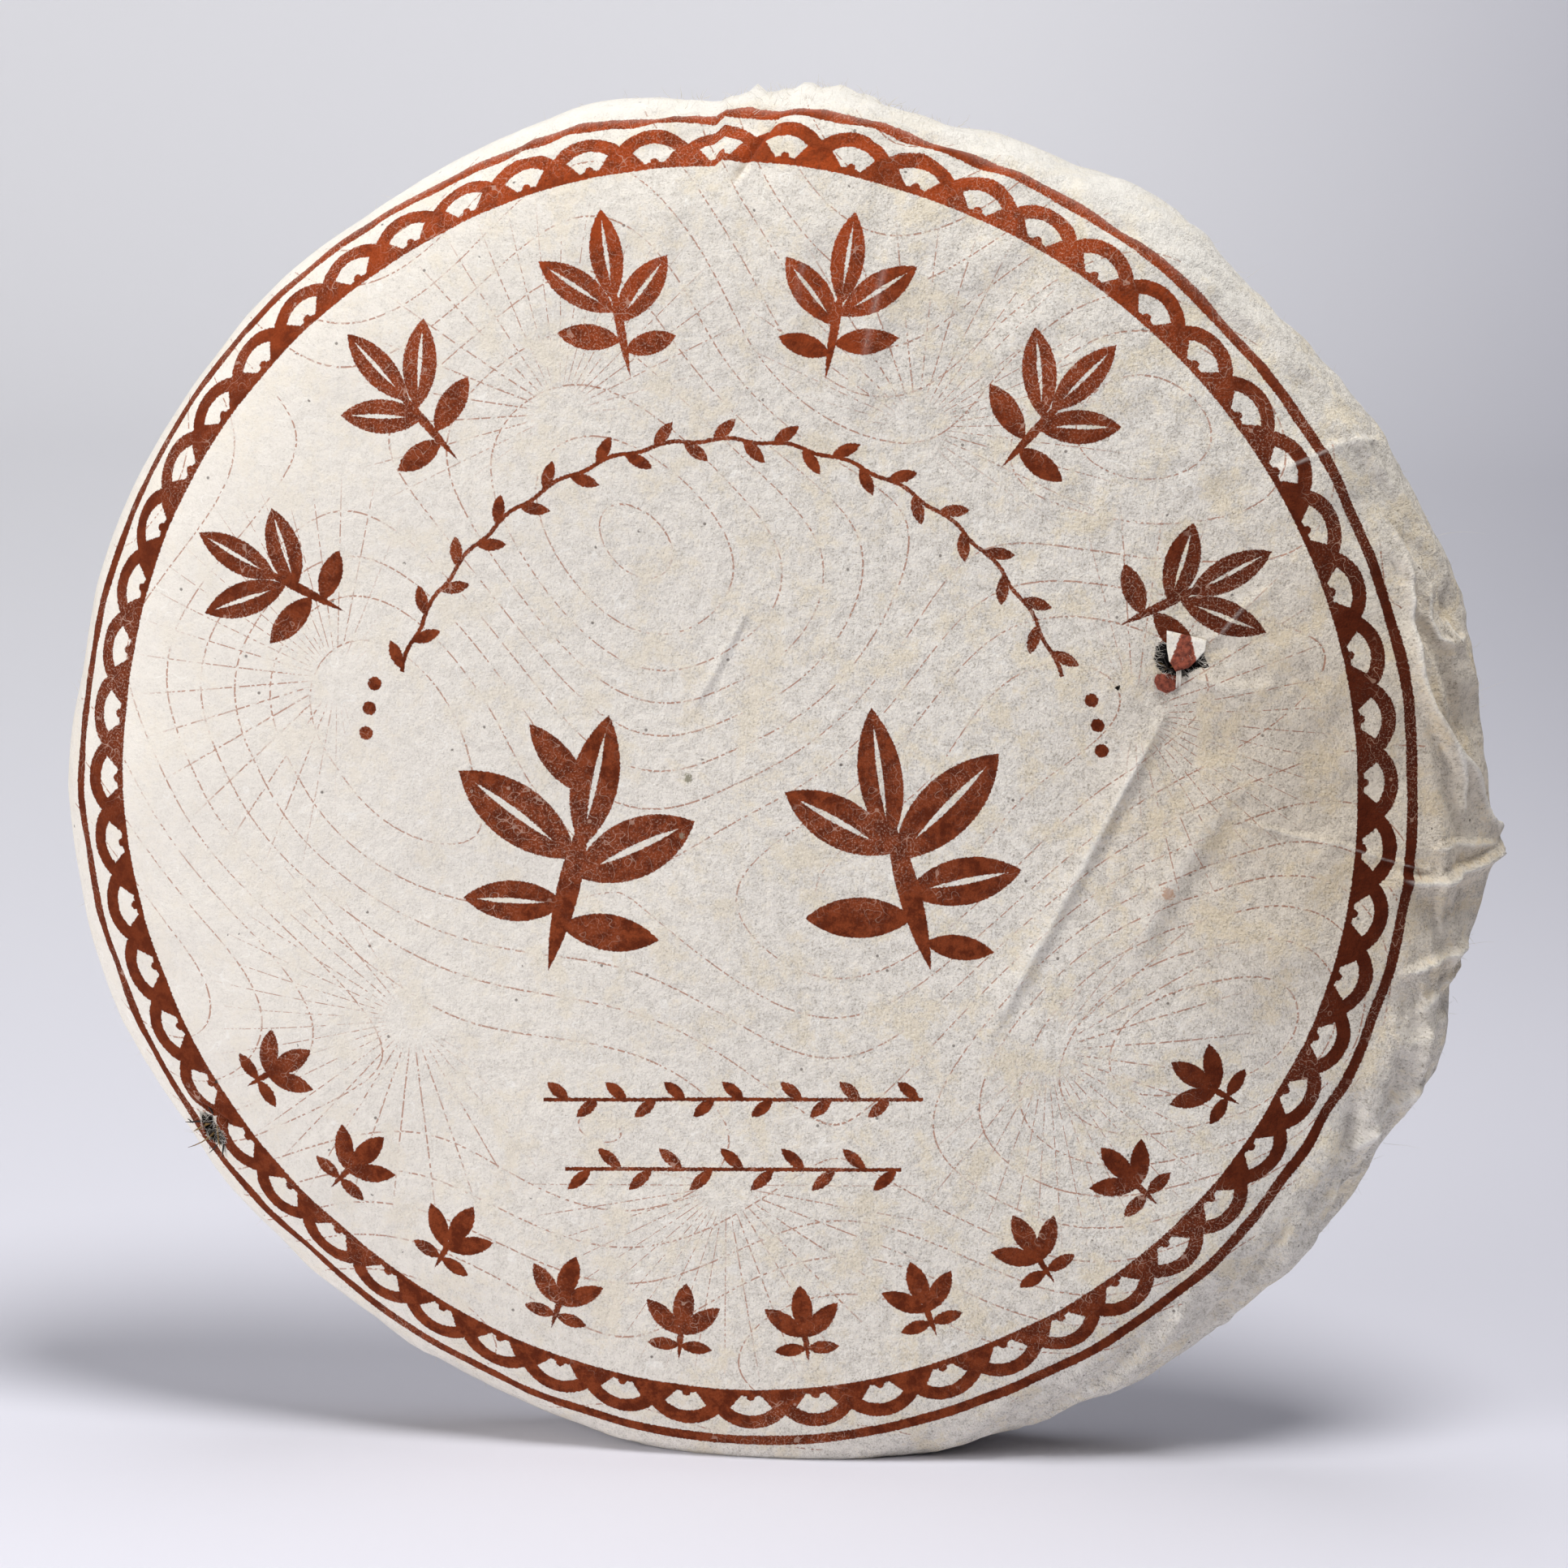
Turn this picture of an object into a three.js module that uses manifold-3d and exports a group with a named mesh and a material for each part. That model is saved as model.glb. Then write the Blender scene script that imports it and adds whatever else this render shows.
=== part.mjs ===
// A round cake of pressed tea, shut in a sheet of soft cotton paper and standing on its rim.
// Millimetres. X runs to the right as the printed face is seen, Z runs up, and the printed face looks to -Y.
import * as THREE from "three";
import { mergeVertices } from "three/addons/utils/BufferGeometryUtils.js";
import Module from "manifold-3d";

// The cake in its paper
const RIM_RADIUS = 98.1;
const FRONT_DEPTH = 13.9;
const BACK_DEPTH = 13.0;
const FACE_FLATNESS = 8.3;
const RIM_ROUNDNESS = 2.0;
const FOOT_HEIGHT_BELOW_MIDDLE = 94.8;
const FOOT_SQUARENESS = 4.5;
const FOOT_SPREAD_DEG = 17;

// The paper drawn together over the back
const PLEATS = 26;
const PLEAT_HEIGHT = 0.55;
const PLEAT_TWIST = 1.1;
const DIMPLE_RADIUS = 31;
const DIMPLE_DEPTH = 13.5;
const KNOT_RADIUS = 8.5;
const KNOT_HEIGHT = 9;

// Walls and clearances
const PAPER_WALL = 1.0;
const TEA_GAP = 0.4;

// Resolution of the swept surfaces
const OUTER_SEGMENTS = PLEATS * 4;
const INNER_SEGMENTS = 72;

// Where the rings lie, as shares of the rim radius, closest together round the shoulder and the knot
const FRONT_RINGS = [0.16, 0.32, 0.47, 0.61, 0.73, 0.82, 0.885, 0.93, 0.96, 0.976, 0.985, 0.993, 0.998];
const BACK_RINGS = [
  0.998, 0.992, 0.984, 0.97, 0.945, 0.905, 0.845, 0.76, 0.64, 0.51, 0.4, 0.33, 0.27, 0.21, 0.15, 0.1, 0.07, 0.045,
];
const INNER_FRONT_RINGS = [0.32, 0.61, 0.82, 0.93, 0.97, 0.985, 0.995];
const INNER_BACK_RINGS = [0.995, 0.985, 0.96, 0.9, 0.78, 0.6, 0.42, 0.32, 0.24, 0.16, 0.08];

// Places where the rim stands out or sinks in: angle, half width and height.
const RIM_BUMPS = [
  { at: 15, wide: 6, high: 0.8 },
  { at: 42, wide: 7, high: -0.6 },
  { at: 57.5, wide: 5, high: 1.3 },
  { at: 77, wide: 6, high: -0.8 },
  { at: 85, wide: 4, high: 0.9 },
  { at: 94, wide: 4, high: -0.9 },
  { at: 104.5, wide: 4.5, high: 1.1 },
  { at: 171, wide: 5, high: -0.7 },
  { at: 181, wide: 4, high: 0.6 },
  { at: 210, wide: 7, high: -0.4 },
  { at: 303, wide: 5, high: 0.8 },
  { at: 337.5, wide: 4, high: 1.3 },
];

// The loose corner of paper that sticks out at the right of the rim.
const EAR = { at: -3.2, wide: 4.2, high: 2.4, depth: 1.5, deep: 6 };

const degrees = THREE.MathUtils.degToRad;
const smooth = THREE.MathUtils.smoothstep;

// How far an angle lies from a centre, as a bell curve that ends at 0.
function bell(angle, centre, halfWidth) {
  const turn = Math.atan2(Math.sin(angle - centre), Math.cos(angle - centre));
  return Math.exp(-((turn / halfWidth) ** 2));
}

// The rim isn't a true circle: it is a little wider than high, with soft corners.
function rimRadius(angle) {
  let radius = RIM_RADIUS;
  radius += 1.25 * Math.cos(2 * angle);
  radius -= 0.31 * Math.cos(3 * angle) + 0.23 * Math.sin(3 * angle);
  radius += 0.08 * Math.cos(4 * angle) + 0.24 * Math.sin(4 * angle);
  for (const bump of RIM_BUMPS) {
    radius += bump.high * bell(angle, degrees(bump.at), degrees(bump.wide));
  }
  return radius;
}

// The share of the half depth left at a share of the rim radius. Near the foot the rim is squarer.
function domeShare(share, angle) {
  const square = FOOT_SQUARENESS * bell(angle, degrees(270), degrees(FOOT_SPREAD_DEG));
  const power = 1 / (RIM_ROUNDNESS + square);
  return Math.max(1 - share ** FACE_FLATNESS, 0) ** power;
}

// The hollow pressed into the back, and the gathered knot that stands in it.
function backHollow(radius) {
  return DIMPLE_DEPTH * (1 - smooth(radius, 3, DIMPLE_RADIUS));
}

function knotRise(radius) {
  return KNOT_HEIGHT * (1 - smooth(radius, KNOT_RADIUS * 0.45, KNOT_RADIUS));
}

// Pleats run in from the rim and turn a little as they reach the knot.
function pleatRise(radius, angle) {
  const twist = PLEAT_TWIST * (1 - smooth(radius, 8, 60));
  const fade = smooth(radius, 6, 14) * (1 - smooth(radius, 84, 97));
  return PLEAT_HEIGHT * fade * Math.cos(PLEATS * angle + PLEATS * twist);
}

// Shallow facets where the paper is folded round the rim.
function rimCrumple(angle, depth) {
  const right = 0.5 + 0.5 * Math.cos(angle);
  const wave = Math.sin(11 * angle + 0.22 * depth) + 0.7 * Math.sin(17 * angle - 0.31 * depth + 1.3);
  return (0.12 + 0.22 * right) * wave;
}

// A closed surface about the Y axis from a list of rings, with the poles and the seam joined.
function sweptSurface(frontRings, backRings, segments, place) {
  const profile = [new THREE.Vector2(0, -1)];
  for (const share of frontRings) profile.push(new THREE.Vector2(share, -0.5));
  profile.push(new THREE.Vector2(1, 0));
  for (const share of backRings) profile.push(new THREE.Vector2(share, 0.5));
  profile.push(new THREE.Vector2(0, 1));
  const lathe = new THREE.LatheGeometry(profile, segments);
  const position = lathe.getAttribute("position");
  const rows = profile.length;
  for (let i = 0; i < position.count; i++) {
    const share = profile[i % rows].x;
    const side = profile[i % rows].y;
    const step = Math.floor(i / rows) % segments;
    const angle = Math.PI / 2 - (2 * Math.PI * step) / segments;
    const at = place(share, side, angle);
    position.setXYZ(i, at.x, at.y, at.z);
  }
  return closed(lathe);
}

// One indexed closed mesh, without the faces that have no width at the poles.
function closed(geometry) {
  geometry.deleteAttribute("normal");
  geometry.deleteAttribute("uv");
  const merged = mergeVertices(geometry, 1e-4);
  const kept = [];
  const index = merged.getIndex().array;
  for (let i = 0; i < index.length; i += 3) {
    const [a, b, c] = [index[i], index[i + 1], index[i + 2]];
    if (a !== b && b !== c && a !== c) kept.push(a, b, c);
  }
  merged.setIndex(kept);
  return merged;
}

// A point of the wrapped form, moved inwards by an offset. Only the outside shows pleats, knot and folds.
function formPoint(share, side, angle, offset, outside) {
  const spot = outside ? 0 : 1;
  let radius = share * (rimRadius(angle) - offset);
  let y;
  if (side <= 0) {
    y = -(FRONT_DEPTH - offset) * domeShare(share, angle);
  } else {
    y = (BACK_DEPTH - offset) * domeShare(share, angle) - backHollow(radius + offset * 0.4 * spot);
  }
  if (outside) {
    const nearRim = smooth(share, 0.9, 1);
    radius += nearRim * rimCrumple(angle, y);
    const across = Math.exp(-(((y - EAR.depth) / EAR.deep) ** 2));
    radius += nearRim * EAR.high * across * bell(angle, degrees(EAR.at), degrees(EAR.wide));
    if (side > 0) y += pleatRise(radius, angle) + knotRise(radius);
  }
  const z = Math.max(radius * Math.sin(angle), -FOOT_HEIGHT_BELOW_MIDDLE + offset);
  return new THREE.Vector3(radius * Math.cos(angle), y, z);
}

const wasm = await Module();
wasm.setup();

function toSolid(geometry) {
  return new wasm.Manifold(
    new wasm.Mesh({
      numProp: 3,
      vertProperties: new Float32Array(geometry.getAttribute("position").array),
      triVerts: new Uint32Array(geometry.getIndex().array),
    }),
  );
}

function toMesh(name, solid, material) {
  const cut = solid.getMesh();
  const geometry = new THREE.BufferGeometry();
  const positions = new Float32Array(cut.numVert * 3);
  for (let i = 0; i < cut.numVert; i++) {
    positions.set(cut.vertProperties.subarray(i * cut.numProp, i * cut.numProp + 3), i * 3);
  }
  geometry.setAttribute("position", new THREE.BufferAttribute(positions, 3));
  geometry.setIndex(new THREE.BufferAttribute(cut.triVerts, 1));
  geometry.computeVertexNormals();
  const mesh = new THREE.Mesh(geometry, material);
  mesh.name = name;
  return mesh;
}

// A prism with an outline in the plane of the face, running in along Y.
function facePrism(outline, from, to) {
  const shape = new THREE.Shape(outline.map(([x, z]) => new THREE.Vector2(x, z)));
  const prism = new THREE.ExtrudeGeometry(shape, { depth: to - from, bevelEnabled: false });
  prism.rotateX(Math.PI / 2);
  prism.translate(0, to, 0);
  return toSolid(closed(prism));
}

// A raised crease of the paper, thin at both ends, lying on the face.
function crease(start, end, width, height, depth) {
  const long = Math.hypot(end[0] - start[0], end[1] - start[1]);
  const bar = new THREE.SphereGeometry(1, 8, 6);
  bar.scale(long / 2, height, width / 2);
  bar.rotateY(-Math.atan2(end[1] - start[1], end[0] - start[0]));
  bar.translate((start[0] + end[0]) / 2, -depth, (start[1] + end[1]) / 2);
  return toSolid(closed(bar));
}

const outer = toSolid(
  sweptSurface(FRONT_RINGS, BACK_RINGS, OUTER_SEGMENTS, (share, side, angle) =>
    formPoint(share, side, angle, 0, true),
  ),
);

const inner = toSolid(
  sweptSurface(INNER_FRONT_RINGS, INNER_BACK_RINGS, INNER_SEGMENTS, (share, side, angle) =>
    formPoint(share, side, angle, PAPER_WALL, false),
  ),
);

const tea = toSolid(
  sweptSurface(INNER_FRONT_RINGS, INNER_BACK_RINGS, INNER_SEGMENTS, (share, side, angle) =>
    formPoint(share, side, angle, PAPER_WALL + TEA_GAP, false),
  ),
);

// The two torn holes, through which the tea shows.
const tearRight = facePrism(
  [
    [54.6, 20.6],
    [54.3, 22.4],
    [55.4, 24.0],
    [57.2, 24.4],
    [59.4, 23.6],
    [61.4, 23.5],
    [60.6, 21.4],
    [58.4, 20.7],
    [56.6, 19.6],
  ],
  -22,
  -6,
);
const tearLeft = facePrism(
  [
    [-80.6, -48.8],
    [-78.6, -48.6],
    [-76.8, -50.6],
    [-76.3, -53.0],
    [-78.0, -53.6],
    [-79.8, -51.6],
  ],
  -22,
  -4,
);

// The scrap of paper turned up at the edge of the right tear.
const flap = facePrism(
  [
    [56.0, 26.3],
    [61.6, 25.2],
    [61.0, 23.0],
    [58.6, 22.2],
    [57.2, 24.2],
  ],
  -14.6,
  -13.3,
);

const creases = [
  crease([57.7, 17.2], [31.6, -33.5], 2.4, 0.7, 13.75),
  crease([65.1, 2.6], [51.8, -21.3], 4.0, 0.6, 13.6),
  crease([-1.3, 28.1], [-9.8, 12.4], 1.6, 0.5, 13.8),
];

let wrapper = outer.subtract(inner).add(flap);
for (const raised of creases) wrapper = wrapper.add(raised);
wrapper = wrapper.subtract(inner).subtract(tearRight.subtract(flap)).subtract(tearLeft);

const paper = new THREE.MeshStandardMaterial({ color: 0xddd6c8, roughness: 0.9, metalness: 0 });
const leaf = new THREE.MeshStandardMaterial({ color: 0x2a1c14, roughness: 0.85, metalness: 0 });

const root = new THREE.Group();
root.name = "wrapped_tea_cake";
root.add(toMesh("paper_wrapper", wrapper, paper));
root.add(toMesh("tea_cake", tea, leaf));

// The foot comes to rest on Z = 0, with the whole centred over it.
const box = new THREE.Box3().setFromObject(root);
const middle = box.getCenter(new THREE.Vector3());
root.position.set(-middle.x, -middle.y, -box.min.z);
root.updateMatrixWorld(true);

export default root;
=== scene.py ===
# %% [markdown]
# # A wrapped tea cake
# A pressed tea cake is a thick disc of dark leaf, shut in one round sheet of soft cotton paper. The sheet
# is printed on its face, folded over the rim and drawn together behind in a twisted knot. This lesson
# dresses the plain solids of the part: the paper with its folds, tears and print, the leaf that shows
# through the tears, and loose fibres. The solids come in as a fixed frame, so every size here is a real
# one.

# %% Load the frame
import math
import random

import bmesh
import bpy
import numpy as np
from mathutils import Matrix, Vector, noise


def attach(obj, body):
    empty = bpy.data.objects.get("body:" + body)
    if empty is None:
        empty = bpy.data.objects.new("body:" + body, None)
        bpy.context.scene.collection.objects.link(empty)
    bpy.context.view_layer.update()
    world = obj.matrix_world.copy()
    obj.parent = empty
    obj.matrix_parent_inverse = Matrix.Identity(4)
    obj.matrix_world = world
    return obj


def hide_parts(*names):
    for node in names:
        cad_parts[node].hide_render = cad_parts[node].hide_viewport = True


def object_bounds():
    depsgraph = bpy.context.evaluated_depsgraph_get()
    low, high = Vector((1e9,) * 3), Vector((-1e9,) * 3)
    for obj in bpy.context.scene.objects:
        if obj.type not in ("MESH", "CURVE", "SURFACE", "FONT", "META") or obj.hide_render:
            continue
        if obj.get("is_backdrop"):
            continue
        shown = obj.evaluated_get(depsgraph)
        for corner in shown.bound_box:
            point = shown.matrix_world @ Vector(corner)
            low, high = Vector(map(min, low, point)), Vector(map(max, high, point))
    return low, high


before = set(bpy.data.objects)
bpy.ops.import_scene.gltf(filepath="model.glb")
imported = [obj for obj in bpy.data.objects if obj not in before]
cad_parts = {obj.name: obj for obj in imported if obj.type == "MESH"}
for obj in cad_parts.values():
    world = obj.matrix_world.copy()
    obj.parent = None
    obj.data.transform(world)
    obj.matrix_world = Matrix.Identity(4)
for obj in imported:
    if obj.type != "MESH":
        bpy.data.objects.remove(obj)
cad_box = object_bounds()
MM = 0.001
CAKE_MIDDLE = Vector((-0.409, 0.5255, 94.8))
print("solids:", sorted(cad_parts), "box:", [round(v, 4) for c in cad_box for v in c])


# %% [markdown]
# ## The camera
# The cake stands on its rim. It is seen from a little to the right and above, from far away, so its
# outline is nearly a true projection. A long lens at 1.6 m does that. One millimetre on the face then
# covers 8.84 pixels of a picture 1932 pixels wide, which gives the lens directly.

# %% Camera
PICTURE_PX = 1932
PX_PER_MM = 8.84
CAKE_PX_RIGHT, CAKE_PX_DOWN = 954.1, 963.8
CAMERA_TURN, CAMERA_RISE, CAMERA_FAR = 8.0, 12.5, 1600.0


def camera_axes(turn, rise):
    a, e = math.radians(turn), math.radians(rise)
    back = Vector((math.sin(a) * math.cos(e), -math.cos(a) * math.cos(e), math.sin(e)))
    right = Vector((math.cos(a), math.sin(a), 0))
    return back, right, back.cross(right)


back, right, up = camera_axes(CAMERA_TURN, CAMERA_RISE)
camera = bpy.data.objects.new("camera", bpy.data.cameras.new("camera"))
bpy.context.scene.collection.objects.link(camera)
aim = CAKE_MIDDLE + right * (PICTURE_PX / 2 - CAKE_PX_RIGHT) / PX_PER_MM
aim = aim - up * (PICTURE_PX / 2 - CAKE_PX_DOWN) / PX_PER_MM
camera.location = (aim + back * CAMERA_FAR) * MM
camera.rotation_mode = "QUATERNION"
camera.rotation_quaternion = (-back).to_track_quat("-Z", "Y")
camera.data.sensor_width = 36
camera.data.lens = 36 * PX_PER_MM * CAMERA_FAR / PICTURE_PX
camera.data.clip_end = 20
bpy.context.scene.camera = camera
print("lens:", round(camera.data.lens, 1), "mm")


# %% [markdown]
# ## The table and the light
# The picture has a pale, slightly lilac ground that rises behind without an edge. One sheet, bent up in a
# wide curve, gives that. Its colour carries painted light: lighter towards the back, and painted shade at
# the right. A high light from the right casts the two long shadows. Two lights from the left, one of them
# low and near, graze the face, so that folds show and the right side is darker. A wide one above lights
# the ground, and the world adds a little.

# %% Ground sheet
def new_object(name, mesh):
    made = bpy.data.objects.new(name, mesh)
    bpy.context.scene.collection.objects.link(made)
    return made


def finish_mesh(bm, name, smooth=True):
    mesh = bpy.data.meshes.new(name)
    for face in bm.faces:
        face.smooth = smooth
    bm.to_mesh(mesh)
    bm.free()
    return new_object(name, mesh)


SHEET_HALF_WIDTH, SHEET_FRONT, SHEET_BEND, SHEET_RADIUS = 3.0, -2.2, 0.72, 0.3
bm = bmesh.new()
start = bm.verts.new((-SHEET_HALF_WIDTH, SHEET_FRONT, 0))
bend = bm.verts.new((-SHEET_HALF_WIDTH, SHEET_BEND, 0))
bm.edges.new((start, bend))
bmesh.ops.spin(
    bm, geom=[bend], cent=(0, SHEET_BEND, SHEET_RADIUS), axis=(1, 0, 0), angle=math.radians(80), steps=24,
    use_merge=False,
)
swept = bmesh.ops.extrude_edge_only(bm, edges=bm.edges[:])
across = [e for e in swept["geom"] if isinstance(e, bmesh.types.BMVert)]
bmesh.ops.translate(bm, verts=across, vec=(2 * SHEET_HALF_WIDTH, 0, 0))
bmesh.ops.recalc_face_normals(bm, faces=bm.faces[:])
ground = finish_mesh(bm, "ground_sheet")
ground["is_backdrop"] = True
print("ground sheet:", len(ground.data.polygons), "faces")

# %% Lights
def soft_light(name, place, target, size, watts, colour):
    lamp = bpy.data.lights.new(name, "AREA")
    lamp.shape = "DISK"
    lamp.size = size
    lamp.energy = watts
    lamp.color = colour
    holder = new_object(name, lamp)
    holder.location = place
    holder.rotation_mode = "QUATERNION"
    holder.rotation_quaternion = (Vector(target) - Vector(place)).to_track_quat("-Z", "Y")
    return holder


soft_light("high_light", (0.34, -0.47, 1.50), (0, 0, 0.08), 0.6, 17.4, (1.0, 0.99, 0.975))
soft_light("left_light", (-0.9, -0.7, 0.4), (0, 0, 0.1), 0.5, 5.15, (1.0, 0.985, 0.965))
soft_light("near_light", (-0.55, -0.3, 0.22), (0, 0, 0.1), 0.3, 0.6, (1.0, 0.98, 0.955))
soft_light("top_light", (-0.1, 0.35, 1.6), (0, 0.1, 0), 1.0, 6.6, (0.94, 0.95, 1.0))
world = bpy.data.worlds.new("studio")
bpy.context.scene.world = world
world.use_nodes = True
world.node_tree.nodes["Background"].inputs["Color"].default_value = (0.86, 0.87, 0.93, 1)
world.node_tree.nodes["Background"].inputs["Strength"].default_value = 0.01
bpy.context.scene.view_settings.view_transform = "Standard"


# %% [markdown]
# ## The form of the wrapped cake
# The form is a squashed ball: a share of the rim radius gives the half depth that is left, with a high
# power for the nearly flat face. The rim radius changes with the angle, because a pressed cake is never a
# true circle. The rim is squarer at the foot, where the cake rests. These are the sizes of the solids, so
# both agree.

# %% Sizes of the form
RIM_RADIUS, FRONT_DEPTH, BACK_DEPTH = 98.1, 13.9, 13.0
FACE_FLATNESS, RIM_ROUNDNESS = 8.3, 2.0
FOOT_BELOW, FOOT_SQUARENESS, FOOT_SPREAD = 94.8, 4.5, 17
DIMPLE_RADIUS, DIMPLE_DEPTH, KNOT_RADIUS, KNOT_HEIGHT = 31, 13.5, 8.5, 9
PLEATS, PLEAT_HEIGHT, PLEAT_TWIST = 26, 0.55, 1.1
RIM_BUMPS = [
    (15, 6, 0.8), (42, 7, -0.6), (57.5, 5, 1.3), (77, 6, -0.8), (85, 4, 0.9), (94, 4, -0.9),
    (104.5, 4.5, 1.1), (171, 5, -0.7), (181, 4, 0.6), (210, 7, -0.4), (303, 5, 0.8), (337.5, 4, 1.3),
]


def smooth(x, low, high):
    t = np.clip((x - low) / (high - low), 0, 1)
    return t * t * (3 - 2 * t)


def bell(angle, centre_deg, half_deg):
    turn = angle - math.radians(centre_deg)
    turn = np.arctan2(np.sin(turn), np.cos(turn))
    return np.exp(-((turn / math.radians(half_deg)) ** 2))


def rim_radius(angle):
    radius = RIM_RADIUS + 1.25 * np.cos(2 * angle) - 0.31 * np.cos(3 * angle) - 0.23 * np.sin(3 * angle)
    radius = radius + 0.08 * np.cos(4 * angle) + 0.24 * np.sin(4 * angle)
    for at, wide, high in RIM_BUMPS:
        radius = radius + high * bell(angle, at, wide)
    return radius


def dome_share(share, angle):
    power = 1 / (RIM_ROUNDNESS + FOOT_SQUARENESS * bell(angle, 270, FOOT_SPREAD))
    return np.clip(1 - share**FACE_FLATNESS, 0, 1) ** power


def form(share, side, angle, offset=0.0):
    """Radius and depth of the plain form, moved inwards by an offset. side is above 0 behind."""
    radius = share * (rim_radius(angle) - offset)
    hollow = DIMPLE_DEPTH * (1 - smooth(radius, 3, DIMPLE_RADIUS))
    front = -(FRONT_DEPTH - offset) * dome_share(share, angle)
    behind = (BACK_DEPTH - offset) * dome_share(share, angle) - hollow
    return radius, np.where(side <= 0, front, behind)


print("rim radius from", round(float(rim_radius(np.linspace(0, 6.28, 400)).min()), 1), "mm to",
      round(float(rim_radius(np.linspace(0, 6.28, 400)).max()), 1), "mm")


# %% [markdown]
# ## Places on the flat sheet
# Paper doesn't stretch, so the print is laid out on the flat sheet and goes over the shoulder as the
# sheet does. The distance from the middle of the face is measured along the curve of the form, and
# direction and distance together give each point its place on the flat sheet. That place becomes the UV
# map, and folds use it too.

# %% Distance along the sheet
PROFILE_SHARES = np.concatenate([np.linspace(0, 0.9, 46), np.linspace(0.9, 1, 80)[1:]])
ANGLE_BINS = 180


def sheet_distances():
    rows = []
    for k in range(ANGLE_BINS):
        angle = 2 * math.pi * k / ANGLE_BINS
        ones = np.ones_like(PROFILE_SHARES)
        radius, depth = form(PROFILE_SHARES, -ones, angle * ones)
        step = np.hypot(np.diff(radius), np.diff(depth))
        rows.append(np.concatenate([[0], np.cumsum(step)]))
    return np.array(rows)


SHEET = sheet_distances()


def along_sheet(share, side, angle):
    turn = (angle / (2 * math.pi) * ANGLE_BINS) % ANGLE_BINS
    low = np.floor(turn).astype(int) % ANGLE_BINS
    rest = turn - np.floor(turn)
    place = np.interp(share, PROFILE_SHARES, np.arange(len(PROFILE_SHARES)))
    i = np.clip(np.floor(place).astype(int), 0, len(PROFILE_SHARES) - 2)
    f = place - i

    def at(row):
        return SHEET[row, i] * (1 - f) + SHEET[row, i + 1] * f

    front = at(low) * (1 - rest) + at((low + 1) % ANGLE_BINS) * rest
    rim = SHEET[low, -1]
    return np.where(side <= 0, front, 2 * rim - front)


print("sheet distance from the middle to the rim:", round(float(SHEET[:, -1].mean()), 1), "mm")


# %% [markdown]
# ## Folds, creases and lumps
# Soft paper shows three kinds of relief: sharp creases where it was folded, soft ripples where it was
# pulled round the rim, and the lumps of the pressed leaf beneath it. Each crease is a chain of points on
# the flat sheet with a height and a width. Its crest is painted lighter, partly as wear and partly as a
# painted highlight, and painted shade darkens the fold line of a sunken one and the trough beside a
# ridge. Ridged noise and scattered cells, whose sharp lines look like crumpled paper, make the small
# folds and facets on the rim.

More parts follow.
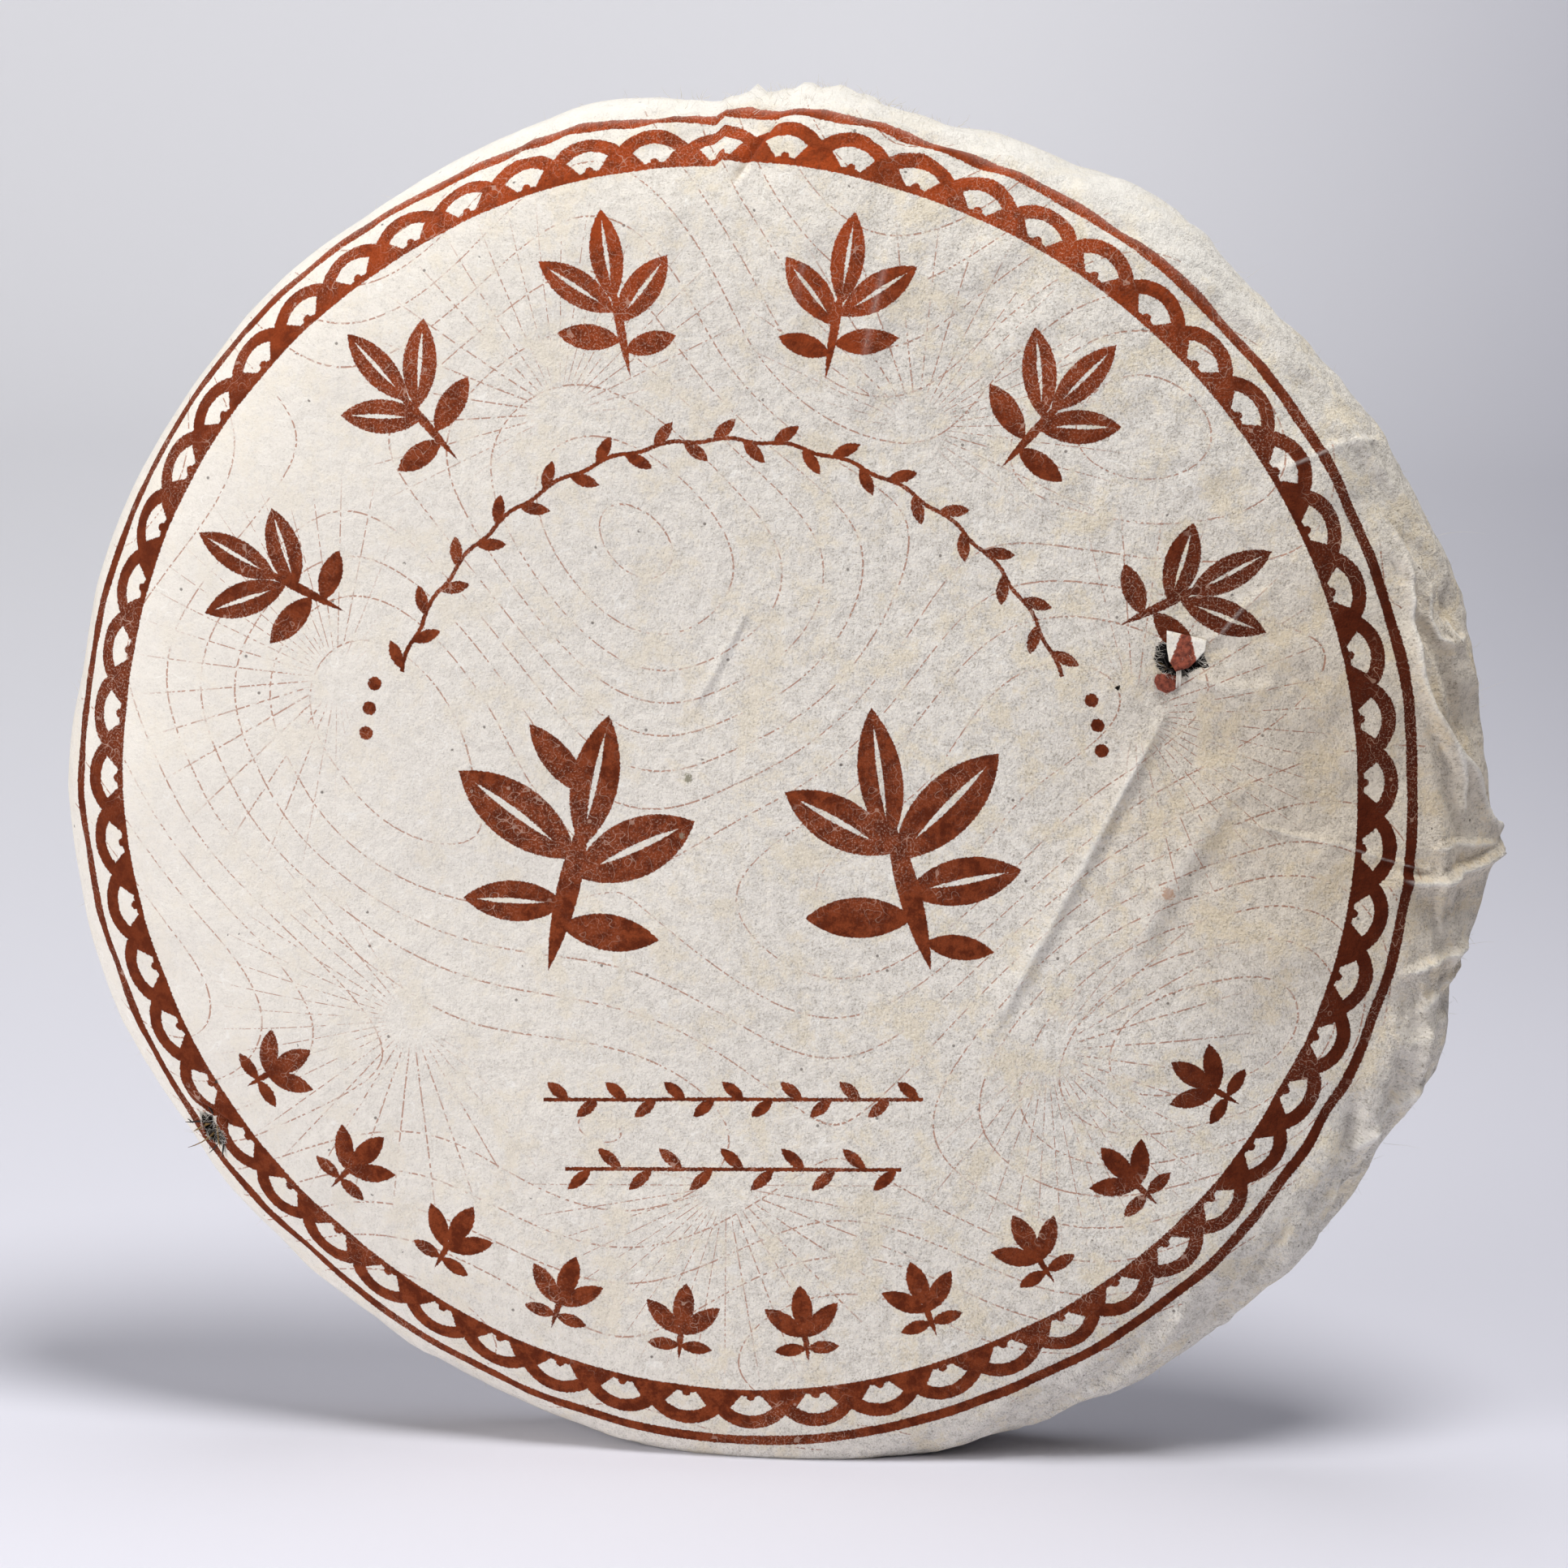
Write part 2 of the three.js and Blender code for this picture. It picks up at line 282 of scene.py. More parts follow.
# %% Creases of the face and the rim
CREASES = [
    # points on the flat sheet, height, half width, and how much steeper the right side is
    ([(57.2, 16.2), (50.5, 3.2), (44.4, -8.9), (37.6, -21.8), (31.6, -33.5)], 1.0, 0.95, 0.75),
    ([(65.1, 2.6), (60.6, -4.6), (56.8, -10.8), (51.8, -21.3)], 1.15, 1.9, 0.7),
    ([(-1.3, 28.1), (-6.5, 18.0), (-9.8, 12.4)], 0.42, 0.6, 0.6),
    ([(63, 3), (67.5, -0.6), (74, -2.6), (80, -3.6), (86, -5.6), (94, -8.0), (100, -9.8)], 0.42, 0.5, 0.5),
    ([(88.2, 41.1), (90.1, 33.7), (90.5, 27.7), (91.4, 20.3), (92.9, 15.5), (95.8, 10.9), (99.8, 5.2),
      (103.1, -1.5), (108.0, -5.2), (116.0, -6.6)], 1.5, 0.8, 0.9),
    ([(91.9, -4.7), (97, -4.2), (103.1, -5.4), (106, -5.6)], 0.6, 0.7, 0.7),
    ([(87.9, -8.2), (92, -9.4), (95.9, -9.2), (102.7, -7.2), (109, -6.2)], 1.3, 0.8, 0.9),
    ([(88.7, -22.5), (94.5, -20.9), (99.8, -20.3), (103, -19.9)], 1.0, 0.8, 0.9),
    ([(92.9, 32.9), (93.0, 28.0), (94.2, 25.0), (97.0, 23.6)], 0.8, 0.5, 0.5),
    ([(95.6, 28.4), (97.4, 24.4), (101.5, 25.3)], 0.7, 0.5, 0.5),
    ([(95.8, 10.9), (97.8, 5.0), (98.4, -1.0)], 0.6, 0.6, 0.5),
    ([(90.5, -29), (94, -26.5), (98, -24.5), (103, -22.5)], 0.6, 0.9, 0.8),
    ([(88.5, -33.5), (95, -31.2), (100, -31)], 0.4, 0.9, 0.6),
    ([(82, -50), (88, -44), (95, -38)], 0.85, 0.9, 0.7),
    ([(76, -60), (82, -55.5), (87.5, -53)], 0.5, 0.9, 0.6),
    ([(1.5, 97), (-1.0, 92.5), (-4.6, 86.0)], -0.9, 0.8, 0.9),
    ([(18.3, 80), (15.5, 68), (13.6, 55)], 0.6, 2.0, 0.4),
    ([(8.5, 84), (5.5, 74), (4.5, 64)], 0.45, 1.7, 0.3),
    ([(27, 83), (25, 74), (25.5, 66)], 0.4, 1.6, 0.3),
    ([(-12, 84), (-14, 76), (-18, 68)], 0.35, 1.7, 0.3),
    ([(-24, 82), (-28, 72), (-36, 62)], 0.3, 2.2, 0.3),
    ([(60, 62), (55, 50), (48, 42)], 0.4, 2.0, 0.4),
    ([(48, 72), (42, 62), (38, 50)], 0.35, 2.2, 0.4),
    ([(70, 48), (80, 52), (88, 53)], 0.5, 0.7, 0.5),
    ([(62.5, 24.5), (67, 30), (72, 33)], 0.4, 0.9, 0.5),
    ([(60, 19.5), (66, 18), (72, 18.5)], 0.35, 1.1, 0.4),
    ([(-81.6, -47.0), (-78.6, -48.3), (-75.6, -49.8)], -0.6, 0.5, 0.6),
    ([(70, -62), (77, -64), (84, -60)], 0.4, 1.0, 0.4),
    ([(58, -72), (63, -76), (70, -78)], 0.35, 1.2, 0.4),
]
BROAD_DENTS = [
    # middle on the flat sheet, half width, height
    ((84, 4), 11, -1.3), ((69, -18), 9, 0.7), ((74, -40), 12, -0.9), ((30, 62), 15, -0.7),
    ((50, 2), 6, 0.5), ((38, -30), 12, 0.4), ((97, 28.5), 3.4, -3.3), ((99, 12), 4.2, -2.8),
    ((97.5, -14), 4.2, -2.9), ((98.5, -27), 4.5, -2.0), ((94, -52), 7, -0.9), ((60, 40), 12, 0.5),
    ((50, -52), 10, -0.6),
]


def line_distance(u, v, points):
    """The distance to a chain of points, the side of it that a place is on, and how far along it lies."""
    nearest, signed, done = np.full_like(u, 1e9), np.zeros_like(u), np.zeros_like(u)
    walked = 0.0
    for a, b in zip(points, points[1:]):
        long = math.dist(a, b)
        du, dv = (b[0] - a[0]) / long, (b[1] - a[1]) / long
        t = np.clip((u - a[0]) * du + (v - a[1]) * dv, 0, long)
        pu, pv = u - a[0] - du * t, v - a[1] - dv * t
        far = np.hypot(pu, pv)
        closer = far < nearest
        signed = np.where(closer, np.sign(du * pv - dv * pu), signed)
        done = np.where(closer, walked + t, done)
        nearest = np.minimum(nearest, far)
        walked += long
    return nearest, signed, done / walked


def crease_height(u, v):
    """The height of the folds, and how much lighter (above 0: wear and painted highlight) or darker (below
    0: painted shade) the paper is painted on them.
    """
    total, crest = np.zeros_like(u), np.zeros_like(u)
    for points, high, wide, lean in CREASES:
        far, signed, done = line_distance(u, v, points)
        taper = np.clip(5 * np.minimum(done, 1 - done) + 0.1, 0, 1)
        width = wide * np.where(signed > 0, 1 - 0.55 * lean, 1 + 0.7 * lean)
        ridge = np.exp(-((far / width) ** 1.4))
        trough = -0.35 * lean * np.exp(-(((far - 1.6 * wide) / (0.8 * wide)) ** 2)) * (signed > 0)
        total += high * taper * (ridge + trough)
        # the crest is painted lighter, partly wear and partly a painted highlight; a sunken fold and the
        # trough beside a ridge get painted shade
        wear_and_highlight_share = min(abs(high) + 0.2, 1) * min(1.0, 1.3 / wide)
        crest += np.sign(high) * taper * ridge**2 * wear_and_highlight_share - 0.35 * abs(trough) * taper
    return total, np.clip(crest, -1, 1)


# %% Ripples, lumps and crumples
def noise_at(points, size, seed):
    shift = Vector((seed * 17.3, seed * 5.1, seed * 9.7))
    return np.array([noise.noise(Vector(p) / size + shift) for p in points])


def cells_at(points, size):
    """The distance to the nearest of many scattered points, in sizes: flat facets between sharp ridges."""
    return np.array([noise.voronoi(Vector(p) / size)[0][0] for p in points])


def round_rim(distance, angle, squeeze, radius, slant):
    """Places on a roll, so that a noise runs round the rim without a seam. slant turns its folds aslant."""
    turned = angle + slant * distance
    return np.stack([distance / squeeze, radius * np.cos(turned), radius * np.sin(turned)], axis=1)


def sheet_relief(u, v, distance, angle):
    """Height of the paper over the plain form, in millimetres, from its place on the flat sheet."""
    flat = np.stack([u, v, np.zeros_like(u)], axis=1)
    right = 0.5 + 0.5 * np.cos(angle + 0.1)
    top = bell(angle, 88, 30)
    folded = 1 - 4 * np.abs(noise_at(flat, 13, 7)) - 1.6 * np.abs(noise_at(flat, 5, 8))
    rough = 0.55 + 1.1 * smooth(0.8 * u + 0.35 * v, 0, 80)
    small = 0.42 * noise_at(flat, 10, 2) + 0.13 * noise_at(flat, 3.8, 3)
    lumps = 0.6 * noise_at(flat, 24, 1) + rough * small
    lumps = lumps + folded * (0.03 + 0.38 * smooth(0.8 * u + 0.35 * v, 10, 90))
    for (cu, cv), wide, high in BROAD_DENTS:
        lumps = lumps + high * np.exp(-(((u - cu) ** 2 + (v - cv) ** 2) / wide**2))
    slanted = round_rim(distance, angle, 2.0, 34, 0.02)
    ridged = 0.9 - 3.6 * np.abs(noise_at(slanted, 5.2, 4)) - 1.1 * np.abs(noise_at(slanted, 2.0, 5))
    fine = 0.16 * noise_at(slanted, 0.8, 9)
    wall = smooth(distance, 90, 96) * (1 - smooth(distance, 122, 140))
    wall = wall * (1 - 0.9 * smooth(distance, 98, 106))
    rolled = round_rim(distance, angle, 0.8, 98, 0.03)
    facets = 4.2 * (cells_at(rolled, 11.0) - 0.45) + 1.5 * (cells_at(rolled, 5.5) - 0.45)
    ridged = ridged + facets * right**3
    crumple = (ridged + fine) * wall * (0.25 + 0.6 * right**2 + 0.35 * top)
    pull = smooth(distance, 62, 88) * (1 - smooth(distance, 96, 106))
    ripple = noise_at(round_rim(distance, angle, 60, 60, 0), 5.0, 6)
    ripple = pull * ripple * (0.2 + 0.5 * top + 0.3 * right**2)
    return lumps * (1 - 0.5 * wall) + crumple + ripple


# %% [markdown]
# ## Pleats and knot behind
# Behind, the spare paper is laid in pleats that all lean one way and wind into a short twisted knot,
# which sits in the hollow pressed into the cake. The pleats are a saw-tooth wave round the cake that
# turns as it nears the knot. The photograph doesn't show the back, so this is the usual way such a cake
# is shut.

# %% Pleats and knot
def back_relief(radius, angle):
    twist = PLEAT_TWIST * (1 - smooth(radius, 8, 60))
    uneven = 0.05 * np.sin(3 * angle + 1.0) + 0.03 * np.sin(7 * angle + 0.02 * radius)
    phase = (PLEATS * (angle + twist + uneven) / (2 * math.pi)) % 1.0
    wobble = 0.35 * np.sin(5 * angle + 1.0) + 0.25 * np.sin(11 * angle + 0.03 * radius)
    tooth = np.where(phase < 0.92, (phase / 0.92) ** 0.7, (1 - phase) / 0.08)
    fade = smooth(radius, 6, 14) * (1 - smooth(radius, 84, 97))
    deep = PLEAT_HEIGHT * (1.9 + 0.8 * wobble) * (0.75 + 0.6 * (1 - smooth(radius, 20, 70)))
    knot = KNOT_HEIGHT * (1 - smooth(radius, KNOT_RADIUS * 0.45, KNOT_RADIUS))
    rope = 0.55 * np.sin(6 * angle + radius * 0.9) * (1 - smooth(radius, 5, 10)) * smooth(radius, 0.5, 3)
    return fade * deep * (tooth - 0.5) + knot + rope


# the ear's angle and half width in degrees, its height, and its place and reach in depth
EAR_AT, EAR_WIDE, EAR_HIGH, EAR_DEPTH, EAR_DEEP = -3.4, 3.0, 2.3, 1.0, 5.0
TUFTS = [
    # angle, half width in degrees, height
    (93.4, 0.7, 0.8), (91.6, 0.8, 2.0), (89.5, 0.6, 0.8), (87.4, 1.1, 1.7), (84.6, 1.2, 1.4),
    (82.0, 0.9, 0.8),
]


def rim_extras(angle, depth):
    """The pointed ear of paper at the right, and the tufts that stand up at the top."""
    turned = angle - math.radians(EAR_AT)
    off = np.abs(np.degrees(np.arctan2(np.sin(turned), np.cos(turned))))
    ear = EAR_HIGH * np.exp(-((off / EAR_WIDE) ** 1.2)) * np.exp(-(((depth - EAR_DEPTH) / EAR_DEEP) ** 2))
    tufts = sum(high * bell(angle, at, wide) for at, wide, high in TUFTS)
    return ear + tufts * np.exp(-(((depth - 2.5) / 5) ** 2))


# %% [markdown]
# ## The sheet as a mesh
# A short chain of points, spun about the Y axis, makes a closed skin whose points stand for a share of
# the radius and an angle. It is split more finely where something small happens, and only then bent into
# the real form, so that the fine places follow the same curves. The torn holes are cut by removing the
# faces inside an outline, and their edges are turned inwards by the thickness of the paper.

# %% Spin the sheet in shares and angles
STEPS = 480
FRONT_SHARES = np.concatenate([
    np.linspace(0, 0.5, 23)[1:], np.linspace(0.5, 0.88, 32)[1:], np.linspace(0.88, 0.972, 12)[1:],
    [0.978, 0.983, 0.988, 0.992, 0.9955, 0.9985],
])
BACK_SHARES = np.concatenate([
    [0.9985, 0.9955, 0.991, 0.984, 0.975, 0.963], np.linspace(0.95, 0.36, 24), np.linspace(0.335, 0.02, 19),
])


def spin_shares(front, behind, steps):
    bm = bmesh.new()
    chain = [(0.0, -1.0)] + [(s, -0.5 - 0.1 * (1 - s)) for s in front] + [(1.0, 0.0)]
    chain += [(s, 0.5 + 0.1 * (1 - s)) for s in behind] + [(0.0, 1.0)]
    verts = [bm.verts.new((share, side, 0)) for share, side in chain]
    edges = [bm.edges.new(pair) for pair in zip(verts, verts[1:])]
    bmesh.ops.spin(
        bm, geom=verts + edges, cent=(0, 0, 0), axis=(0, 1, 0), angle=2 * math.pi, steps=steps,
        use_merge=True,
    )
    bmesh.ops.remove_doubles(bm, verts=bm.verts[:], dist=1e-5)
    bmesh.ops.recalc_face_normals(bm, faces=bm.faces[:])
    return bm


def shares_of(bm):
    co = np.array([v.co for v in bm.verts])
    angle = np.arctan2(co[:, 2], co[:, 0])
    return np.hypot(co[:, 0], co[:, 2]).clip(0, 1), co[:, 1], angle


sheet_bm = spin_shares(FRONT_SHARES, BACK_SHARES, STEPS)
print("sheet before refining:", len(sheet_bm.faces), "faces")


# %% Refine where the folds and tears are
TEARS = {
    "right": [(54.5, 22.1), (54.9, 23.8), (55.8, 24.6), (57.5, 23.5), (60.0, 23.0), (62.2, 22.6),
              (61.7, 21.4), (59.7, 20.4), (57.9, 19.2), (56.6, 19.5), (55.1, 20.5)],
    "left": [(-80.4, -48.2), (-78.5, -48.4), (-77.7, -50.2), (-76.4, -51.3), (-77.2, -52.9),
             (-79.2, -52.3), (-80.1, -50.7)],
}
TEAR_MIDDLES = [(58.3, 22.0), (-78.4, -50.4)]


def refine(bm, wanted):
    """Splits each edge whose middle wanted(u, v) chooses, by its place on the flat sheet."""
    share, side, angle = shares_of(bm)
    distance = along_sheet(share, side, angle)
    u, v = distance * np.cos(angle), distance * np.sin(angle)
    bm.verts.index_update()
    edges = list(bm.edges)
    ends = np.array([[vert.index for vert in edge.verts] for edge in edges])
    chosen = wanted(u[ends].mean(axis=1), v[ends].mean(axis=1)) & (distance[ends].max(axis=1) < 112)
    picked = [edge for edge, yes in zip(edges, chosen) if yes]
    bmesh.ops.subdivide_edges(bm, edges=picked, cuts=1, use_grid_fill=True)


def near_creases(reach, finest):
    def wanted(u, v):
        yes = np.zeros(len(u), dtype=bool)
        for points, _, wide, _ in CREASES:
            if wide < finest:
                yes |= line_distance(u, v, points)[0] < reach
        return yes
    return wanted


def near_places(reach, places):
    return lambda u, v: np.any([np.hypot(u - a, v - b) < reach for a, b in places], axis=0)


refine(sheet_bm, lambda u, v: near_creases(2.1, 1.3)(u, v) | ((np.hypot(u, v) > 95) & (u > 55)))
refine(sheet_bm, near_creases(1.2, 1.0))
for reach in (7.0, 5.6, 4.7):
    refine(sheet_bm, near_places(reach, TEAR_MIDDLES[:1]))
left_tear_on_sheet = (TEAR_MIDDLES[1][0] * 1.012, TEAR_MIDDLES[1][1] * 1.012)
for reach in (5.4, 4.4, 3.6):
    refine(sheet_bm, near_places(reach, [left_tear_on_sheet]))
print("sheet after refining:", len(sheet_bm.faces), "faces")


# %% Bend the sheet into the form and cut the tears
def inside(x, z, outline):
    odd = False
    for (ax, az), (bx, bz) in zip(outline, outline[1:] + outline[:1]):
        if (az > z) != (bz > z) and x < (bx - ax) * (z - az) / (bz - az) + ax:
            odd = not odd
    return odd


share, side, angle = shares_of(sheet_bm)
radius, depth = form(share, side, angle)
near_rim = smooth(share, 0.9, 1.0)
radius = radius + near_rim * rim_extras(angle, depth)
for i, vert in enumerate(sheet_bm.verts):
    vert.co = (radius[i] * math.cos(angle[i]), depth[i], radius[i] * math.sin(angle[i]))
sheet_bm.normal_update()
distance = along_sheet(share, side, angle)
u, v = distance * np.cos(angle), distance * np.sin(angle)
calm = 1 - 0.8 * bell(angle, 270, 14) * near_rim
smooth_ear = 1 - 0.75 * bell(angle, EAR_AT, 4) * near_rim
folds, crest = crease_height(u, v)
relief = sheet_relief(u, v, distance, angle)
height = (relief * smooth_ear + folds) * calm
for i, vert in enumerate(sheet_bm.verts):
    vert.co += vert.normal * height[i]
    if side[i] > 0:
        vert.co.y += float(back_relief(radius[i], angle[i]))
    vert.co.z = max(vert.co.z, -FOOT_BELOW)
rng = random.Random(7)
torn = []
for face in sheet_bm.faces:
    middle = face.calc_center_median()
    if middle.y < 0 and any(
        inside(middle.x + rng.uniform(-0.12, 0.12), middle.z + rng.uniform(-0.12, 0.12), outline)
        for outline in TEARS.values()
    ):
        torn.append(face)
print("faces torn away:", len(torn))

# %% Store the place on the flat sheet as a UV map
# the print lies off the middle, and steps sideways where the sheet is folded at the top
PRINT_SHIFT = (-3.87, 2.42)
FOLD_AT = 94.0
PAPER_THICKNESS = 0.22
u_layer, v_layer = sheet_bm.verts.layers.float.new("sheet_u"), sheet_bm.verts.layers.float.new("sheet_v")
# crest carries the painted fold marks: lighter crests, worn and with a painted highlight, and painted shade
# in sunken folds
crest_layer = sheet_bm.verts.layers.float.new("crest")
past_fold = (FOLD_AT - np.degrees(angle) + 180) % 360 - 180
step = np.where(past_fold > 0, 1.0 * np.exp(-np.abs(past_fold) / 9), -0.4 * np.exp(-np.abs(past_fold) / 6))
shown = distance - step * smooth(distance, 84, 93)
for i, vert in enumerate(sheet_bm.verts):
    vert[u_layer] = shown[i] * math.cos(angle[i]) - PRINT_SHIFT[0]
    vert[v_layer] = shown[i] * math.sin(angle[i]) - PRINT_SHIFT[1]
    vert[crest_layer] = crest[i]
bmesh.ops.delete(sheet_bm, geom=torn, context="FACES")
sheet_bm.normal_update()
torn_edges = [edge for edge in sheet_bm.edges if edge.is_boundary]
lips = bmesh.ops.extrude_edge_only(sheet_bm, edges=torn_edges)
for vert in [item for item in lips["geom"] if isinstance(item, bmesh.types.BMVert)]:
    vert.co.y += PAPER_THICKNESS
uv_layer = sheet_bm.loops.layers.uv.new("flat_sheet")
for face in sheet_bm.faces:
    for loop in face.loops:
        loop[uv_layer].uv = (loop.vert[u_layer] / 100, loop.vert[v_layer] / 100)
for vert in sheet_bm.verts:
    vert.co = (vert.co + CAKE_MIDDLE) * MM
wrapper = finish_mesh(sheet_bm, "cotton_paper_sheet")
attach(wrapper, "root")
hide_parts("paper_wrapper")
print("paper sheet:", len(wrapper.data.polygons), "faces")


# %% [markdown]
# ## The pressed leaf
# Under the paper lies the cake itself. Only two small places of it show, but it is finished all round: a
# coarse skin of pressed, twisted leaves. Two crossed fields of ridged noise, drawn out in different
# directions, give the look of leaves that lie across each other.

# %% The cake under the paper
def leaf_relief(points):
    first = [(p[0] * 0.9 + p[2] * 0.35, p[1], p[2] * 0.3 - p[0] * 0.1) for p in points]
    second = [(p[0] * 0.25 - p[2] * 0.15, p[1], p[2] * 0.95 + p[0] * 0.3) for p in points]
    return 0.35 - 0.9 * np.minimum(np.abs(noise_at(first, 2.4, 11)), np.abs(noise_at(second, 2.1, 12)))


tea_bm = spin_shares(
    np.concatenate([np.linspace(0, 0.9, 36)[1:], [0.93, 0.955, 0.975, 0.99]]),
    np.concatenate([[0.99, 0.975, 0.955], np.linspace(0.93, 0.03, 34)]), 200,
)
for reach in (6.5, 5.5):
    refine(tea_bm, near_places(reach, TEAR_MIDDLES))
share, side, angle = shares_of(tea_bm)
flat_x, flat_z = share * RIM_RADIUS * np.cos(angle), share * RIM_RADIUS * np.sin(angle)
near_hole = sum(1 - smooth(np.hypot(flat_x - cx, flat_z - cz), 4.5, 8.0) for cx, cz in TEAR_MIDDLES)
radius, depth = form(share, side, angle, 3.4 - 1.8 * near_hole * (side < 0))
for i, vert in enumerate(tea_bm.verts):
    vert.co = (radius[i] * math.cos(angle[i]), depth[i], radius[i] * math.sin(angle[i]))
tea_bm.normal_update()
rise = leaf_relief([tuple(vert.co) for vert in tea_bm.verts])
for i, vert in enumerate(tea_bm.verts):
    vert.co += vert.normal * float(rise[i]) * 0.9
    vert.co.z = max(vert.co.z, -FOOT_BELOW + 2.0)
    vert.co = (vert.co + CAKE_MIDDLE) * MM
tea = finish_mesh(tea_bm, "pressed_leaf_cake")
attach(tea, "root")
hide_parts("tea_cake")
print("pressed leaf:", len(tea.data.polygons), "faces")


# %% [markdown]
# ## Threads: leaf ends, fibres and fluff
# Torn cotton paper ends in a fringe of fibres, its edge is furry against the light, and single leaves
# stick out of the pressed cake. All of these are thin, bent and pointed, so one helper makes them: a
# curve with many short strands, each with its own thickness along its length, turned into a mesh when it
# is full.

# %% Strand helper
def strands(name, lines, flat=0):
    """A mesh of thin tubes. Each line is a list of points from the middle, with a radius for each."""
    curve = bpy.data.curves.new(name, "CURVE")
    curve.dimensions = "3D"
    curve.bevel_depth = 1.0 * MM
    curve.bevel_resolution = flat
    curve.use_fill_caps = True
    for points, radii in lines:
        spline = curve.splines.new("POLY")
        spline.points.add(len(points) - 1)
        for spot, place, thick in zip(spline.points, points, radii):
            spot.co = (*((Vector(place) + CAKE_MIDDLE) * MM), 1)
            spot.radius = thick
    holder = new_object(name + "_curve", curve)
    bpy.context.view_layer.update()
    mesh = bpy.data.meshes.new_from_object(holder.evaluated_get(bpy.context.evaluated_depsgraph_get()))
    bpy.data.objects.remove(holder)
    made = new_object(name, mesh)
    for face in mesh.polygons:
        face.use_smooth = True
    return made


def bent_strand(rng, start, direction, length, thick, bend=0.5, points=5):
    place, way = Vector(start), Vector(direction).normalized()
    line, radii = [], []
    for k in range(points):
        line.append(tuple(place))
        radii.append(thick * (1 - 0.8 * k / (points - 1)))
        way = (way + bend * Vector([rng.uniform(-1, 1) for _ in range(3)]) * 0.5).normalized()
        place = place + way * (length / (points - 1))
    return line, radii


def face_depth(x, z):
    angle = np.array([math.atan2(z, x)])
    share = np.array([math.hypot(x, z)]) / rim_radius(angle)
    return float(form(np.clip(share, 0, 1), np.array([-1.0]), angle)[1][0])


# %% Leaf ends in the tears
rng = random.Random(21)
leaf_lines, gold_lines = [], []
for cx, cz, across in ((58.0, 21.6, 3.4), (-78.4, -50.5, 1.9)):
    for k in range(34):
        x, z = cx + rng.uniform(-across, across), cz + rng.uniform(-1.8, 1.8)
        y = face_depth(x, z) + rng.uniform(0.55, 1.5)
        way = (rng.uniform(-1, 1), rng.uniform(-0.12, 0.12), rng.uniform(-1, 1))
        line, radii = bent_strand(rng, (x, y, z), way, rng.uniform(2.0, 4.6), rng.uniform(0.2, 0.42), 0.35)
        radii = [r * (0.75 + 0.35 * math.sin(3 * j)) for j, r in enumerate(radii)]
        (gold_lines if k % 7 == 3 else leaf_lines).append((line, radii))
leaf_ends = strands("loose_leaf_ends", leaf_lines, 1)
gold_ends = strands("golden_leaf_tips", gold_lines, 1)

# %% Fibres round the tears
fibre_lines = []
for name, outline in TEARS.items():
    cx = sum(p[0] for p in outline) / len(outline)
    cz = sum(p[1] for p in outline) / len(outline)
    for (ax, az), (bx, bz) in zip(outline, outline[1:] + outline[:1]):
        for k in range(11):
            t = rng.random()
            x, z = ax + (bx - ax) * t, az + (bz - az) * t
            inward = Vector((cx - x, rng.uniform(-1.2, 0.4), cz - z)).normalized()
            inward += Vector((rng.uniform(-0.8, 0.8), 0, rng.uniform(-0.8, 0.8)))
            start = (x - inward.x * 0.25, face_depth(x, z) - 0.02, z - inward.z * 0.25)
            fibre_lines.append(bent_strand(rng, start, inward, rng.uniform(0.7, 2.0), 0.028, 0.6))
for k in range(7):
    x = 57.7 + 0.09 * k
    y = face_depth(x, 20) - 0.3
    hanging = [(x + 0.1 * math.sin(k + j), y - 0.1 * j * (4 - j), 21.0 - 0.72 * j) for j in range(5)]
    fibre_lines.append((hanging, [0.09, 0.1, 0.09, 0.07, 0.03]))
tear_fibres = strands("torn_edge_fibres", fibre_lines)

# %% Fluff on the rim
FLUFF_STRANDS, TUFT_STRANDS = 760, 260
fluff_lines = []
for k in range(FLUFF_STRANDS):
    tuft = k < TUFT_STRANDS
    angle = math.radians(rng.gauss(86, 5.5)) if tuft else rng.uniform(-math.pi, math.pi)
    if not tuft and math.cos(angle) < -0.3 and rng.random() < 0.5:
        continue
    lean = rng.uniform(-5, 7)
    r = float(rim_radius(np.array([angle]))[0])
    drop = abs(lean) / 13
    r = r * (1 - min(drop, 0.98) ** 2) ** (1 / FACE_FLATNESS)
    start = (r * math.cos(angle), lean, r * math.sin(angle))
    if start[2] < -88:
        continue
    out = Vector((math.cos(angle), rng.uniform(-0.5, 0.5), math.sin(angle)))
    out += Vector((-math.sin(angle), 0, math.cos(angle))) * rng.uniform(-1.6, 1.6)
    long = rng.uniform(0.8, 2.4) if tuft else rng.uniform(0.5, 1.9)
    fluff_lines.append(bent_strand(rng, start, out, long, 0.036 if tuft else 0.024, 0.7))
for at, long in ((22.0, 7.0), (-30.0, 6.0), (9.0, 4.5), (-12.0, 4.0), (48.0, 3.5)):
    a = math.radians(at)
    r = float(rim_radius(np.array([a]))[0])
    start = (r * math.cos(a), 2, r * math.sin(a))
    out = (1, 0, 0.5 * math.sin(a) + 0.3)
    fluff_lines.append(bent_strand(rng, start, out, long, 0.02, 0.3, 8))
rim_fluff = strands("rim_fluff", fluff_lines)
for piece, slot in ((leaf_ends, "tea"), (gold_ends, "tea"), (tear_fibres, "paper"), (rim_fluff, "paper")):
    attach(piece, "root")
    print(piece.name, len(piece.data.polygons), "faces")


# %% [markdown]
# ## The turned-up scrap
# At the right tear a scrap of the sheet is folded up and back on itself. It is a small plate with a sharp
# fold at its top, bent away from the face. A plate of a given outline, filled, subdivided and then curled
# gives it.

